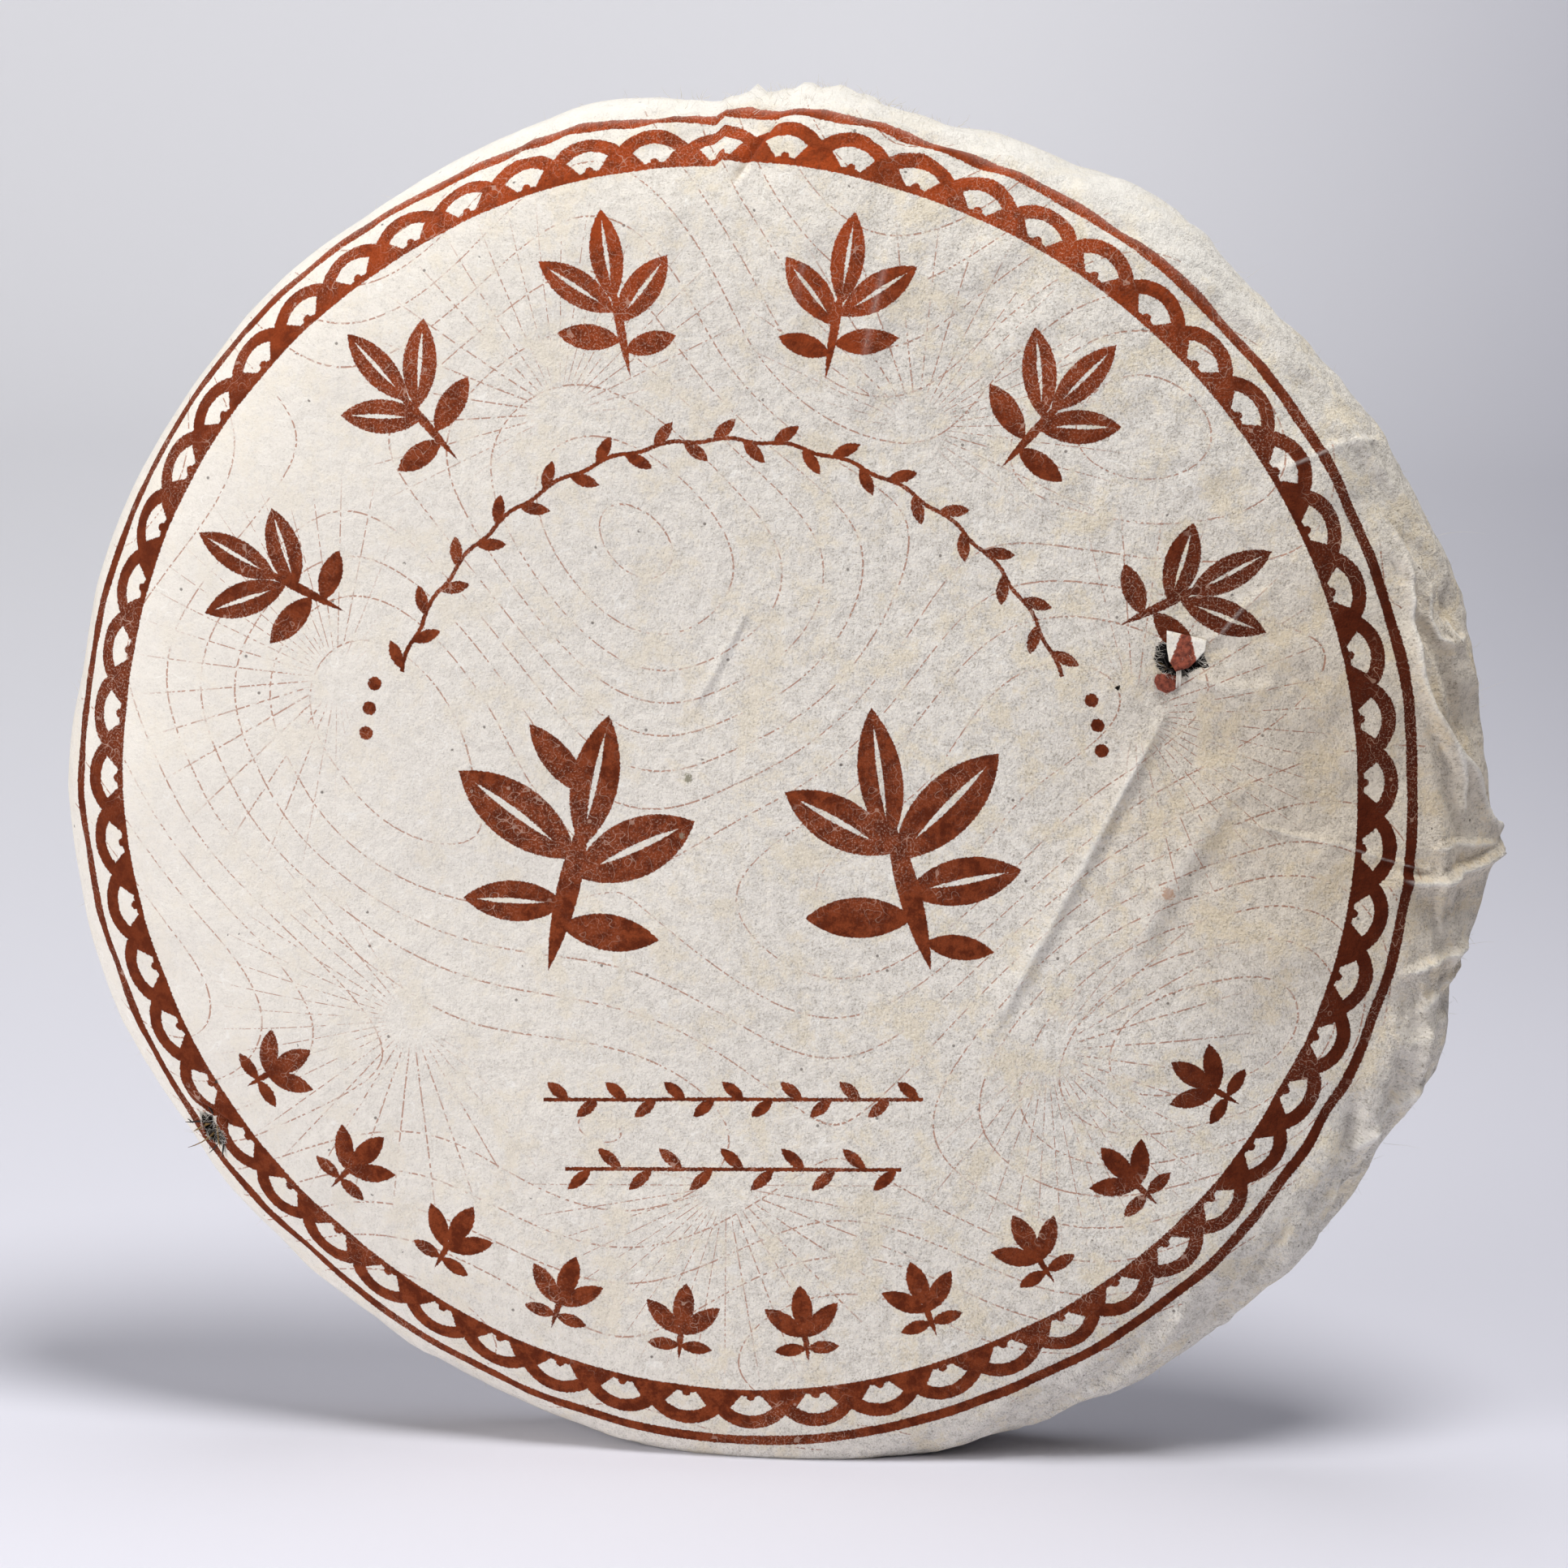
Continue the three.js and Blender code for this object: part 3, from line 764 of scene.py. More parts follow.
# %% Scrap at the right tear
SCRAP = [
    (56.3, 26.1), (59.2, 25.5), (61.8, 24.9), (61.6, 23.4), (60.6, 22.2), (59.4, 21.1), (57.7, 20.6),
    (56.7, 22.0), (56.3, 24.0),
]
LIP = [
    (54.6, 18.9), (54.8, 19.9), (56.3, 20.1), (57.7, 19.7), (58.1, 18.7), (57.4, 17.7), (56.2, 17.3),
    (55.1, 17.8),
]
SCRAP_THICKNESS = 0.16


def paper_scrap(name, outline, hinge, curl, lift):
    """A scrap of the sheet, hinged on the line through two points, curling away from the face below it."""
    bm = bmesh.new()
    bm.faces.new([bm.verts.new((x, 0, z)) for x, z in outline])
    bmesh.ops.triangulate(bm, faces=bm.faces[:])
    bmesh.ops.subdivide_edges(bm, edges=bm.edges[:], cuts=5, use_grid_fill=True)
    (ax, az), (bx, bz) = hinge
    long = math.dist(*hinge)
    nx, nz = (bz - az) / long, -(bx - ax) / long
    layer = bm.loops.layers.uv.new("flat_sheet")
    for vert in bm.verts:
        x, z = vert.co.x, vert.co.z
        down = (x - ax) * nx + (z - az) * nz
        wave = 0.12 * math.sin(1.7 * x + 0.9 * z) + 0.1 * noise.noise(Vector((x, z, 3.0)) / 1.4)
        rise = lift + curl * (down / 5) ** 2 + wave * min(down / 2, 1)
        vert.co.y = face_depth(x, z) - max(rise, 0.12)
    for face in bm.faces:
        for loop in face.loops:
            loop[layer].uv = ((loop.vert.co.x - ax) / 10, (loop.vert.co.z - az) / 10)
    bmesh.ops.recalc_face_normals(bm, faces=bm.faces[:])
    if sum(f.normal.y for f in bm.faces) > 0:
        bmesh.ops.reverse_faces(bm, faces=bm.faces[:])
    for vert in bm.verts:
        vert.co = (vert.co + CAKE_MIDDLE) * MM
    made = finish_mesh(bm, name)
    thick = made.modifiers.new("paper_thickness", "SOLIDIFY")
    thick.thickness = SCRAP_THICKNESS * MM
    thick.offset = -1
    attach(made, "root")
    return made


scrap = paper_scrap("turned_up_scrap", SCRAP, ((56.3, 26.1), (61.9, 24.9)), 0.9, 0.28)
lip = paper_scrap("torn_lower_lip", LIP, ((54.8, 17.2), (57.8, 17.2)), 0.25, 0.14)
print("scrap:", len(scrap.data.polygons), "faces; lip:", len(lip.data.polygons), "faces")


# %% [markdown]
# ## Shader maths
# The print is worked out from distances, so the material needs much arithmetic. A small class wraps a
# socket and overloads the usual operators, so that an expression on values adds its Math nodes.
# Everything else comes from one method that takes a node's type, its settings and its inputs.

# %% Sockets as values
class Value:
    def __init__(self, bench, socket):
        self.bench, self.socket = bench, socket

    def math(self, operation, *others):
        return self.bench.node("ShaderNodeMath", {"operation": operation}, [self, *others])

    def __add__(self, other):
        return self.math("ADD", other)

    def __sub__(self, other):
        return self.math("SUBTRACT", other)

    def __mul__(self, other):
        return self.math("MULTIPLY", other)

    def __truediv__(self, other):
        return self.math("DIVIDE", other)

    def __neg__(self):
        return self.math("MULTIPLY", -1.0)

    def __abs__(self):
        return self.math("ABSOLUTE")

    def __rsub__(self, other):
        return self.bench.node("ShaderNodeMath", {"operation": "SUBTRACT"}, [other, self])

    __radd__ = __add__
    __rmul__ = __mul__

    def low(self, other):
        return self.math("MINIMUM", other)

    def high(self, other):
        return self.math("MAXIMUM", other)

    def ramp(self, start, end, top=1.0):
        """0 below start and top above end, smooth between. start may be the larger one."""
        settings = {"interpolation_type": "SMOOTHSTEP"}
        return self.bench.node("ShaderNodeMapRange", settings, [self, start, end, 0.0, top])

    def over(self, limit):
        return self.math("GREATER_THAN", limit)


class Bench:
    """The nodes of one material."""

    def __init__(self, name):
        self.material = bpy.data.materials.new(name)
        self.material.use_nodes = True
        self.tree = self.material.node_tree
        self.shader = self.tree.nodes["Principled BSDF"]

    def node(self, kind, settings=None, inputs=(), output=0):
        made = self.tree.nodes.new(kind)
        for key, value in (settings or {}).items():
            setattr(made, key, value)
        pairs = inputs.items() if isinstance(inputs, dict) else enumerate(inputs)
        for key, value in pairs:
            if isinstance(value, Value):
                self.tree.links.new(value.socket, made.inputs[key])
            else:
                made.inputs[key].default_value = value
        return Value(self, made.outputs[output])

    def vector(self, operation, *values):
        output = "Value" if operation in ("DISTANCE", "LENGTH") else "Vector"
        return self.node("ShaderNodeVectorMath", {"operation": operation}, values, output)

    def scaled(self, vector, factor):
        return self.node("ShaderNodeVectorMath", {"operation": "SCALE"}, {0: vector, "Scale": factor})

    def split(self, vector):
        made = self.tree.nodes.new("ShaderNodeSeparateXYZ")
        self.tree.links.new(vector.socket, made.inputs[0])
        return [Value(self, s) for s in made.outputs]

    def join(self, x, y, z=0.0):
        return self.node("ShaderNodeCombineXYZ", {}, [x, y, z])

    def noise(self, place, scale, detail=3.0, rough=0.55, flat=False):
        settings = {"noise_dimensions": "2D"} if flat else {}
        values = {"Vector": place, "Scale": scale, "Detail": detail, "Roughness": rough}
        return self.node("ShaderNodeTexNoise", settings, values)

    def mix(self, factor, first, second):
        return self.node("ShaderNodeMix", {"data_type": "RGBA"}, {0: factor, 6: first, 7: second}, 2)

    def link(self, name, value):
        self.tree.links.new(value.socket, self.shader.inputs[name])

    def bump(self, height, strength, distance, normal=None):
        inputs = {"Height": height, "Strength": strength, "Distance": distance}
        if normal is not None:
            inputs["Normal"] = normal
        return self.node("ShaderNodeBump", {}, inputs)


def linear(r, g, b):
    """A screen colour of 0 to 255 as the linear colour that the shader works with."""
    shares = [c / 255 for c in (r, g, b)]
    return tuple(s / 12.92 if s < 0.04045 else ((s + 0.055) / 1.055) ** 2.4 for s in shares) + (1.0,)


# %% [markdown]
# ## The print
# The border is a round band of scallops, each with a fan-shaped window, inside a thin line: a common
# traditional edging. One scallop is drawn in a small slice of the circle and repeated sixty times by
# folding the angle. Inside it the sheet carries plain sprigs of tea leaf in one brick-brown ink. A leaf
# is the part that two circles share, so its outline costs two distances. Every shape gives a distance in
# millimetres, below 0 inside it.

# %% Shapes as distances
def leaf(bench, place, base, tip, width):
    """A pointed leaf: where two circles overlap."""
    length = math.dist(base, tip)
    radius = (length**2 / 4 + width**2 / 4) / width
    offset = radius - width / 2
    middle = ((base[0] + tip[0]) / 2, (base[1] + tip[1]) / 2)
    side = (-(tip[1] - base[1]) / length * offset, (tip[0] - base[0]) / length * offset)
    one = bench.vector("DISTANCE", place, (middle[0] + side[0], middle[1] + side[1], 0))
    two = bench.vector("DISTANCE", place, (middle[0] - side[0], middle[1] - side[1], 0))
    return one.high(two) - radius


def sprig(bench, place, leaves, veins=()):
    """Several leaves as one shape, with a thin bare vein in some of them."""
    shape = None
    for base, tip, width in leaves:
        one = leaf(bench, place, base, tip, width)
        shape = one if shape is None else shape.low(one)
    for k in veins:
        base, tip, width = leaves[k]
        inner = (base[0] + (tip[0] - base[0]) * 0.22, base[1] + (tip[1] - base[1]) * 0.22)
        outer = (base[0] + (tip[0] - base[0]) * 0.86, base[1] + (tip[1] - base[1]) * 0.86)
        shape = shape.high(-leaf(bench, place, inner, outer, width * 0.12))
    return shape


def round_cell(bench, radius, turn, step_deg, phase_deg):
    """Folds the angle into slices: the place in a slice, across and outwards, and the slice's number."""
    step = math.radians(step_deg)
    count = (turn - math.radians(phase_deg)) / step
    number = count.math("ROUND")
    rest = (count - number) * step
    return rest.math("SINE") * radius, rest.math("COSINE") * radius, number


def only(shape, number, low, high):
    """The shape, but only in the slices from low to high."""
    outside = abs(number - (low + high) / 2) - (high - low) / 2
    return shape.high(outside * 100 - 40)


# %% The border
BAND_INNER, SCALLOP_CENTRE, SCALLOP_RADIUS, WINDOW_RADIUS = 86.7, 86.1, 6.42, 4.42
LINE_RADIUS, LINE_HALF_WIDTH = 94.45, 0.78


def border_print(bench, place, radius, turn):
    x, z, _ = round_cell(bench, radius, turn, 6.0, 1.55)
    cell = bench.join(x, z)
    from_centre = bench.vector("DISTANCE", cell, (0, SCALLOP_CENTRE, 0))
    band = (BAND_INNER - radius).high(from_centre - SCALLOP_RADIUS)
    across = abs(x)
    sides = (across - 1.3) * 0.755 - (z - 87.5) * 0.656
    bottom = 87.6 - z + (1.2 - across) * 0.22
    bump = bench.vector("DISTANCE", cell, (0, 87.7, 0)) - 0.62
    window = (from_centre - WINDOW_RADIUS).high(sides).high(bottom).high(-bump)
    line = abs(radius - LINE_RADIUS) - LINE_HALF_WIDTH
    return band.high(-window).low(line)


# %% The sprigs of the face
UPPER_SPRIG = [
    ((0.0, -11.5), (0.6, 3.0), 1.3), ((0.2, -1.0), (1.2, 11.8), 4.6), ((0.0, -2.5), (-8.8, 6.6), 4.8),
    ((0.0, -4.0), (9.0, 3.6), 4.8), ((0.0, -6.5), (-8.6, -3.6), 3.6), ((0.0, -8.0), (7.6, -7.4), 3.2),
]
LEFT_SPRIG = [
    ((-4.0, -18.5), (1.6, 5.0), 3.2), ((0.6, -1.0), (4.6, 18.0), 6.6), ((0.0, -2.5), (-16.4, 9.6), 8.2),
    ((-0.4, -5.0), (16.6, 3.4), 8.2), ((-1.6, -9.0), (-16.0, -8.6), 5.8),
    ((-2.4, -12.0), (11.6, -13.6), 5.2), ((1.5, 6.5), (-6.5, 16.5), 4.2),
]
RIGHT_SPRIG = [
    ((4.2, -18.5), (-2.0, 4.0), 3.2), ((-1.6, -1.0), (-4.2, 18.5), 6.2), ((-1.0, -2.0), (-16.2, 6.2), 7.0),
    ((-1.0, -3.0), (13.6, 12.6), 8.0), ((0.6, -7.5), (16.8, -3.8), 6.6),
    ((1.8, -11.0), (-13.4, -11.6), 5.8), ((3.2, -14.5), (13.0, -15.6), 3.6),
]
LOWER_SPRIG = [
    ((0.0, -5.6), (0.0, 1.0), 0.9), ((0.0, -1.2), (0.2, 5.6), 3.0), ((0.0, -2.0), (-5.2, 2.6), 2.7),
    ((0.0, -2.0), (5.2, 2.6), 2.7), ((0.0, -3.6), (-4.6, -3.7), 1.9), ((0.0, -3.6), (4.6, -3.7), 1.9),
]


def upper_print(bench, place, radius, turn):
    x, z, number = round_cell(bench, radius, turn, 26.55, 24.3)
    flipped = x * (1 - 2 * number.math("MODULO", 2.0).math("ABSOLUTE"))
    return only(sprig(bench, bench.join(flipped, z - 70.4), UPPER_SPRIG, (1, 2, 3)), number, 0, 5)


def lower_print(bench, place, radius, turn):
    x, z, number = round_cell(bench, radius, turn, 12.77, 213.5 - 360)
    return only(sprig(bench, bench.join(x, 77.3 - z), LOWER_SPRIG), number, 0, 9)


def middle_print(leaves, centre):
    def shape(bench, place, radius, turn):
        return sprig(bench, bench.vector("SUBTRACT", place, (*centre, 0)), leaves, (1, 2, 3, 4))
    return shape


def garland_print(bench, place, radius, turn):
    x, z, number = round_cell(bench, radius, turn, 4.9, 22.6)
    side = 1 - 2 * number.math("MODULO", 2.0).math("ABSOLUTE")
    chain = leaf(bench, bench.join(x, (z - 48.6) * side), (1.7, 0.0), (-1.5, 2.9), 1.75)
    stem = abs(z - 48.6 - (turn * (180 / 4.9)).math("SINE") * 0.25) - 0.3
    ink = only(chain.low(stem), number, 0, 28)
    for phase in (7.25, 165.4):
        x, z, number = round_cell(bench, radius, turn, 4.0, phase)
        dots = bench.vector("DISTANCE", bench.join(x, z - 51.7), (0, 0, 0)) - 0.97
        ink = ink.low(only(dots, number, 0, 2))
    return ink


def row_print(bench, place, radius, turn):
    """Two short rows of small leaves under the middle, a little tilted as the print is."""
    x, y, _ = bench.split(place)
    level = y - x * 0.033
    ink = None
    for height, half, step, tip in ((-44.7, 6, 4.1, (-1.5, 2.5)), (-54.7, 5, 4.3, (-1.8, 3.0))):
        count = x / step
        number = count.math("ROUND")
        sign = 1 - 2 * number.math("MODULO", 2.0).math("ABSOLUTE")
        cell = bench.join((count - number) * step, (level - height) * sign)
        row = leaf(bench, cell, (1.5, 0.0), tip, 1.7).low(abs(level - height) - 0.28)
        row = only(row, number, -half, half)
        ink = row if ink is None else ink.low(row)
    return ink


# %% [markdown]
# ## Hair lines under the print
# The sheet also bears very thin broken lines in a fainter ink. Some are the contour lines of a slow
# noise, which wander and close into loops as drawn hairs do. Divided by the slope of the noise, they stay
# equally thin. The others are seven fans of rays that open towards the border. A quicker noise breaks
# them all into dashes. Their layout is free.

# %% Hair lines
def hair_lines(bench, place, radius, turn):
    level, beside, above = (
        bench.noise(bench.vector("ADD", place, shift), 0.015, 0.0, flat=True) * 20
        for shift in ((0, 0, 0), (1, 0, 0), (0, 1, 0))
    )
    slope = abs(beside - level).high(abs(above - level)) + 0.004
    loops = (abs(level - level.math("ROUND")) / slope).ramp(0.17, 0.08)
    x, z, _ = round_cell(bench, radius, turn, 360 / 7, 12)
    up = z - 57
    far = bench.vector("LENGTH", bench.join(x, up))
    spoke = x.math("ARCTAN2", up + 0.3 * x) * (38 / (2 * math.pi))
    rays = (abs(spoke - spoke.math("ROUND")) * far).ramp(0.7, 0.3) * far.ramp(31, 22) * up.ramp(-5, 2)
    dashes = bench.noise(place, 1.9, 0.0, flat=True).ramp(0.38, 0.46)
    return loops.high(rays * far.ramp(3, 6)) * dashes


# %% [markdown]
# ## Cotton paper
# The sheet is cotton paper that looks handmade: cream, mottled by grey and yellowish wisps of fibre, with
# fine dark specks. The mottling is painted fainter at the left, where the light is strongest. A painted
# shade makes the sheet darker and warmer at the right, and greyer on its rim there, where the light falls
# off. The ink misses some fibres, so it is worn through in small light flecks. It is orange at the top,
# and painted darkest at the right, where it lies in shade. A few stains lie at known places.

# %% Paper and ink
PAPER = linear(243, 237, 227)
PAPER_COOL = linear(216, 210, 201)
PAPER_WARM = linear(234, 220, 192)
PAPER_DARK = linear(146, 134, 114)
PAPER_LIGHT = linear(253, 250, 243)
INK = linear(138, 65, 35)
INK_DEEP = linear(98, 41, 20)
INK_ORANGE = linear(176, 76, 34)
INK_IN_SHADE = linear(76, 28, 12)
INK_WORN = linear(214, 170, 146)
INK_FAINT = linear(166, 100, 66)
# painted shade tones: for the right of the sheet, the right of the rim, and the folds
NO_SHADE_TONE, RIGHT_SHADE_TONE = (1.0, 1.0, 1.0, 1.0), (0.84, 0.79, 0.72, 1.0)
RIM_SHADE, FOLD_SHADE = (0.62, 0.60, 0.56, 1.0), (0.5, 0.44, 0.38, 1.0)
SPOTS = [
    # place on the print, half width, colour, strength
    ((-6.2, 0.9), 0.75, linear(140, 135, 110), 0.8), ((60.7, -13.2), 1.1, linear(196, 140, 96), 0.75),
    ((53.5, 15.5), 0.42, linear(18, 14, 12), 1.0), ((-73.9, -45.6), 0.36, linear(60, 50, 42), 0.9),
    ((-7.1, -7.3), 0.5, linear(150, 140, 120), 0.7),
]


def paper_colour(bench, place, flat, strong=1.0):
    """The bare sheet's colour, with a contrast of strong. Threads lie along the middle of a slow noise."""
    unit = 1.0 if flat else 1000.0

    def field(scale, detail, rough=0.6):
        return bench.noise(place, scale * unit, detail, rough, flat)

    wisps, grains, tint = field(0.5, 4.0, 0.8), field(2.9, 2.0, 0.8), field(0.14, 4.0, 0.7)
    colour = bench.mix(wisps.ramp(0.42, 0.68, 0.72) * strong, PAPER, PAPER_COOL)
    colour = bench.mix((tint + wisps * 0.5).ramp(0.78, 0.55, 0.6) * strong, colour, PAPER_WARM)
    colour = bench.mix(grains.ramp(0.48, 0.78) * wisps.ramp(0.3, 0.62, 0.72) * strong, colour, PAPER_DARK)
    colour = bench.mix(grains.ramp(0.48, 0.22, 0.5) * strong, colour, PAPER_LIGHT)
    threads = abs(field(0.16, 1.0) - 0.5).ramp(0.009, 0.003) * tint.ramp(0.47, 0.56, 0.5)
    colour = bench.mix(threads, colour, PAPER_LIGHT)
    settings = {"voronoi_dimensions": "2D" if flat else "3D"}
    specks = bench.node("ShaderNodeTexVoronoi", settings, {"Vector": place, "Scale": 0.14 * unit})
    colour = bench.mix(specks.ramp(0.04, 0.02, 0.7) * tint.ramp(0.57, 0.58), colour, linear(72, 58, 48))
    return colour, wisps, grains, tint


def ink_colour(bench, place):
    """The ink's colour and how much of it is worn away."""
    across, height, _ = bench.split(place)
    fine = bench.noise(place, 3.2, 2.0, 0.8, flat=True)
    flecks = fine.ramp(0.52, 0.76)
    strokes = abs(bench.noise(place, 0.35, 1.0, flat=True) - 0.5).ramp(0.009, 0.003, 0.5)
    areas = bench.noise(place, 0.055, 2.0, flat=True)
    areas = areas + height * 0.0007
    wear = (flecks * areas.ramp(0.4, 0.68, 0.5)).high(strokes * areas.ramp(0.42, 0.55, 0.8))
    ink = bench.mix(bench.noise(place, 0.45, 4.0, 0.75, flat=True).ramp(0.36, 0.62), INK_DEEP, INK)
    patches = bench.noise(place, 0.16, 4.0, 0.85, flat=True).ramp(0.4, 0.58, 0.65)
    ink = bench.mix(height.ramp(30, 96) * (patches + 0.3), ink, INK_ORANGE)
    ink = bench.mix((-across).ramp(40, 92, 0.55), ink, INK_DEEP)
    # painted shade: the ink is painted darkest at the right, except near the top
    ink = bench.mix(across.ramp(15, 92, 0.8) * height.ramp(88, 30), ink, INK_IN_SHADE)
    ink = bench.mix(fine.ramp(0.5, 0.3, 0.4), ink, INK_DEEP)
    return bench.mix(wear, ink, INK_WORN), wear


# %% Paper printed zone by zone
BARE_BEYOND, BORDER_BEYOND, SPRIGS_BEYOND, GARLAND_BEYOND, LOWER_BEYOND = 96.5, 85.0, 57.0, 44.2, 68.0
LOWER_PART, MIDDLE_LINE = -30.0, 0.8


def cotton_paper(name):
    """Each zone of the sheet has its own shader, so only the shapes of that zone are worked out."""
    bench = Bench(name)
    place = bench.scaled(bench.node("ShaderNodeUVMap", {"uv_map": "flat_sheet"}), 100.0)
    x, y, _ = bench.split(place)
    radius, turn = bench.vector("LENGTH", place), y.math("ARCTAN2", x)
    # painted light: the mottling is painted fainter on the left, where the light is brightest, and stronger
    # on the right, in shade; the same value sets the bump strength
    strong = x.ramp(-95, 62, 0.92) + 0.26
    paper, wisps, grains, tint = paper_colour(bench, place, True, strong)
    ink, wear = ink_colour(bench, place)
    ragged = (bench.noise(place, 2.8, 1.0, flat=True) - 0.5) * 0.3
    hairs = hair_lines(bench, place, radius, turn) * tint.ramp(0.34, 0.54, 0.72)
    inked = bench.mix(hairs, paper, INK_FAINT)
    normal = bench.bump(bench.noise(place, 0.6, 4.0, 0.8, flat=True) * (strong * 0.8 + 0.2), 1.0, 0.00047)
    crest = bench.node("ShaderNodeAttribute", {"attribute_name": "crest"}, {}, "Fac")
    # painted shade: the sheet is painted darker and warmer near the right rim, where the light falls off
    right_shade = bench.vector("DISTANCE", place, (88.0, 2.0, 0.0)).ramp(56, 8)
    painted_shade_tone = bench.mix(right_shade, NO_SHADE_TONE, RIGHT_SHADE_TONE)
    # painted shade: the right of the rim is painted greyer in blotches, where it turns away from the light
    painted_rim_shade = (wisps + tint).ramp(0.86, 1.14) * radius.ramp(90, 100) * x.ramp(50, 90, 0.2)
    painted_shade_tone = bench.mix(painted_rim_shade, painted_shade_tone, RIM_SHADE)
    # painted shade in sunken folds and in the trough beside a ridge
    painted_shade_tone = bench.mix((-crest).ramp(0.1, 0.9, 0.6), painted_shade_tone, FOLD_SHADE)
    # painted highlight: fold crests are lightened, partly as wear, and the top of the rim is painted
    # lighter, where the light falls on it
    wear_and_highlight = crest.ramp(0.25, 1.0, 0.5).high(radius.ramp(94, 98) * y.ramp(50, 90, 0.6))

    def zone(shape):
        colour = inked if shape is not None else paper
        if shape is not None:
            covered = (shape(bench, place, radius, turn) + ragged).ramp(0.07, -0.07) * (1 - wear * 0.25)
            colour = bench.mix(covered, inked, ink)
        if shape in SPOTTED:
            for spot_place, size, spot, strength in SPOTS:
                far = bench.vector("DISTANCE", place, (*spot_place, 0)) + ragged * size * 4
                colour = bench.mix(far.ramp(size, size * 0.55, strength), colour, spot)
        # the painted shade tone multiplies the colour, and the painted highlight lightens it
        colour = bench.mix(wear_and_highlight, bench.vector("MULTIPLY", colour, painted_shade_tone), PAPER_LIGHT)
        return bench.node("ShaderNodeBsdfPrincipled", {}, {
            "Base Color": colour, "Normal": normal, "Roughness": 0.88, "Specular IOR Level": 0.06,
            "Sheen Weight": 0.02, "Sheen Roughness": 0.6,
        })

    def choose(test, yes, no):
        return bench.node("ShaderNodeMixShader", {}, [test, no, yes])

    middle = choose(x.over(MIDDLE_LINE), zone(RIGHT_MIDDLE), zone(LEFT_MIDDLE))
    inner = choose(radius.over(GARLAND_BEYOND), zone(garland_print), middle)
    upper = choose(radius.over(SPRIGS_BEYOND), zone(upper_print), inner)
    below = choose(radius.over(LOWER_BEYOND), zone(lower_print), zone(row_print))
    face = choose(y.over(LOWER_PART), upper, below)
    printed = choose(radius.over(BORDER_BEYOND), zone(border_print), face)
    sheet = choose(radius.over(BARE_BEYOND), zone(None), printed)
    bench.tree.links.new(sheet.socket, bench.tree.nodes["Material Output"].inputs["Surface"])
    bench.tree.nodes.remove(bench.shader)
    return bench.material


LEFT_MIDDLE, RIGHT_MIDDLE = middle_print(LEFT_SPRIG, (-21.9, -8.6)), middle_print(RIGHT_SPRIG, (23.5, -6.9))
SPOTTED = (LEFT_MIDDLE, RIGHT_MIDDLE, garland_print, upper_print, border_print)
wrapper.data.materials.append(cotton_paper("printed_cotton_paper"))
print("paper material:", len(wrapper.data.materials[0].node_tree.nodes), "nodes")


# %% [markdown]
# ## Scraps, fibres and leaf
# The turned-up scrap is the same paper, with a patch of ink across it. Fibres are plain and nearly white.
# The leaf varies at random between almost black and brown, and a few young tips are golden.

# %% Scrap paper
def scrap_paper(name, patch):
    bench = Bench(name)
    uv = bench.node("ShaderNodeUVMap", {"uv_map": "flat_sheet"})
    flat = bench.scaled(uv, 10.0)
    solid = bench.node("ShaderNodeTexCoord", {}, {}, "Object")
    paper, wisps, grains, _ = paper_colour(bench, solid, False)
    ragged = bench.noise(flat, 2.6, 2.0) - 0.5
    shape = (patch(bench, flat) + ragged * 0.5).ramp(0.12, -0.12)
    patches = bench.noise(flat, 1.4, 4.0, 0.75).ramp(0.36, 0.62)
    ink = bench.mix(patches, linear(94, 40, 26), linear(156, 78, 56))
    bench.link("Base Color", bench.mix(shape, paper, ink))
    bench.link("Roughness", 0.85 + wisps * 0.08)
    bench.link("Normal", bench.bump(wisps + grains * 0.4, 0.4, 0.00015))
    return bench.material


def scrap_patch(bench, place):
    """A patch of ink that widens downwards."""
    x, z, _ = bench.split(place)
    return abs(x - 2.6 - z * 0.05) - 0.5 + z * 0.31


def lip_patch(bench, place):
    """A round patch of ink."""
    return bench.vector("DISTANCE", place, (1.5, 1.4, 0)) - 1.9


scrap.data.materials.append(scrap_paper("scrap_paper", scrap_patch))
lip.data.materials.append(scrap_paper("lip_paper", lip_patch))


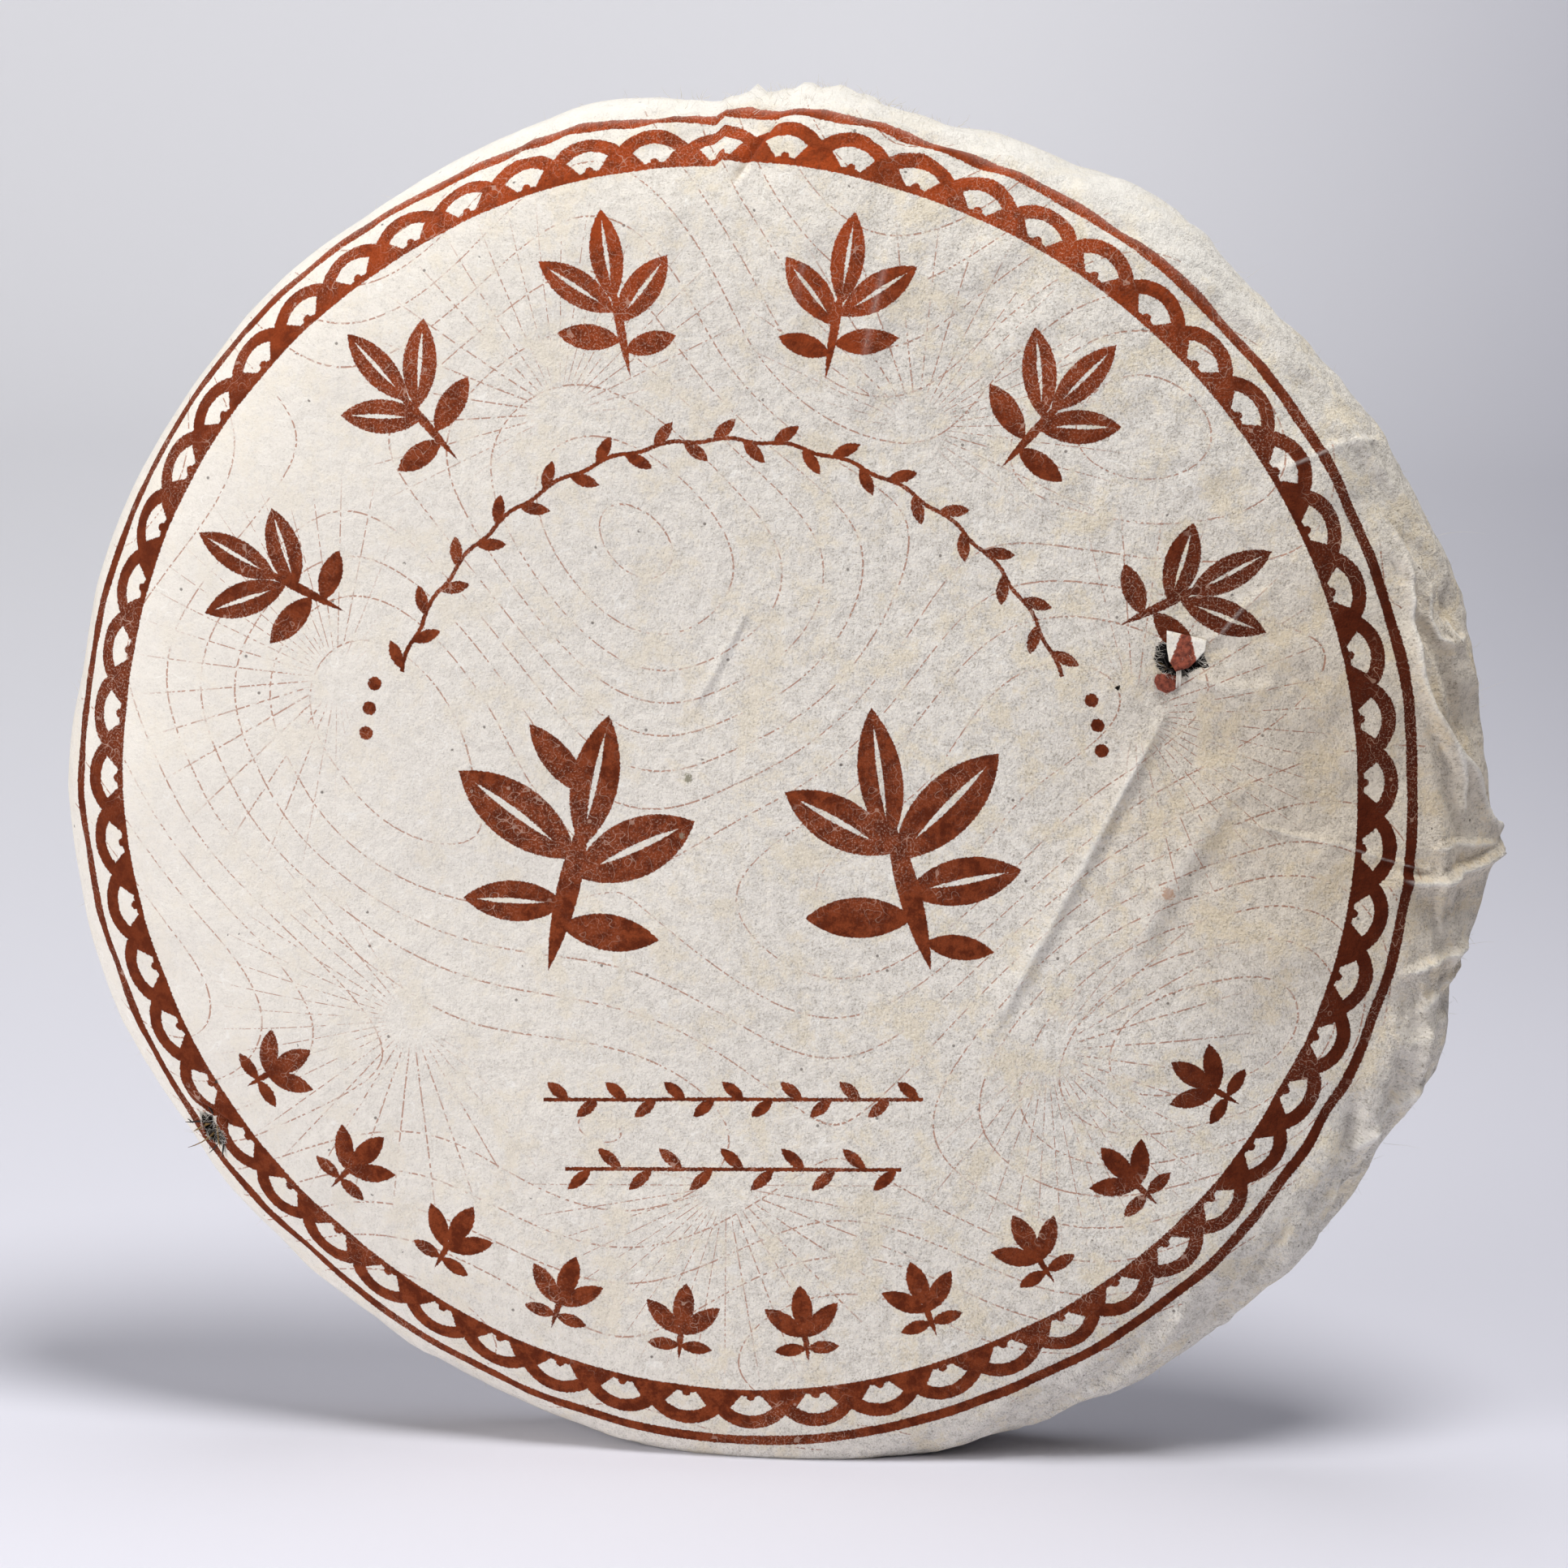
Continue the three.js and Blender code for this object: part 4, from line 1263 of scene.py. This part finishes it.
# %% Leaf and fibre
def plain_finish(name, first, second, scale, rough, relief):
    """A finish that varies between two colours, with a rough grain."""
    bench = Bench(name)
    solid = bench.node("ShaderNodeTexCoord", {}, {}, "Object")
    broad = bench.noise(solid, scale, 4.0, 0.65)
    bench.link("Base Color", bench.mix(broad.ramp(0.4, 0.68), first, second))
    bench.link("Roughness", rough + broad * 0.15)
    bench.link("Normal", bench.bump(broad, 0.5, relief))
    return bench.material


tea_finish = plain_finish("pressed_leaf", linear(20, 15, 12), linear(58, 42, 30), 420.0, 0.6, 0.0003)
tea.data.materials.append(tea_finish)
leaf_ends.data.materials.append(tea_finish)
golden = plain_finish("golden_tip", linear(110, 84, 40), linear(150, 116, 60), 600.0, 0.6, 0.0002)
gold_ends.data.materials.append(golden)
fibre = plain_finish("cotton_fibre", linear(236, 230, 220), linear(214, 206, 192), 900.0, 0.8, 0.0001)
tear_fibres.data.materials.append(fibre)
rim_fluff.data.materials.append(fibre)


# %% Ground finish
def ground_finish(name):
    bench = Bench(name)
    solid = bench.node("ShaderNodeTexCoord", {}, {}, "Object")
    x, y, _ = bench.split(solid)
    # painted light: the ground is painted lighter towards the back and darker near the cake
    far = y.ramp(-0.05, 0.75)
    colour = bench.mix(far, linear(230, 230, 240), linear(250, 250, 255))
    # painted shade: the right of the ground is painted darker, most of all towards the back
    painted_ground_shade = x.ramp(-0.12, 0.22) * (0.05 + y.ramp(-0.1, 0.75) * 0.9)
    colour = bench.mix(painted_ground_shade, colour, linear(160, 160, 176))
    bench.link("Base Color", colour)
    bench.shader.inputs["Roughness"].default_value = 0.7
    bench.shader.inputs["Specular IOR Level"].default_value = 0.1
    return bench.material


ground.data.materials.append(ground_finish("pale_ground"))


# %% [markdown]
# ## Sizes and the end
# The looks must not change the size of the part, so the box of the solids and the box of the dressed cake
# are written side by side.

# %% Write the sizes and finish
visual_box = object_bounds()
for label, box in (("solids", cad_box), ("dressed", visual_box)):
    print(label, [round(1000 * (high - low), 1) for low, high in zip(*box)], "mm")
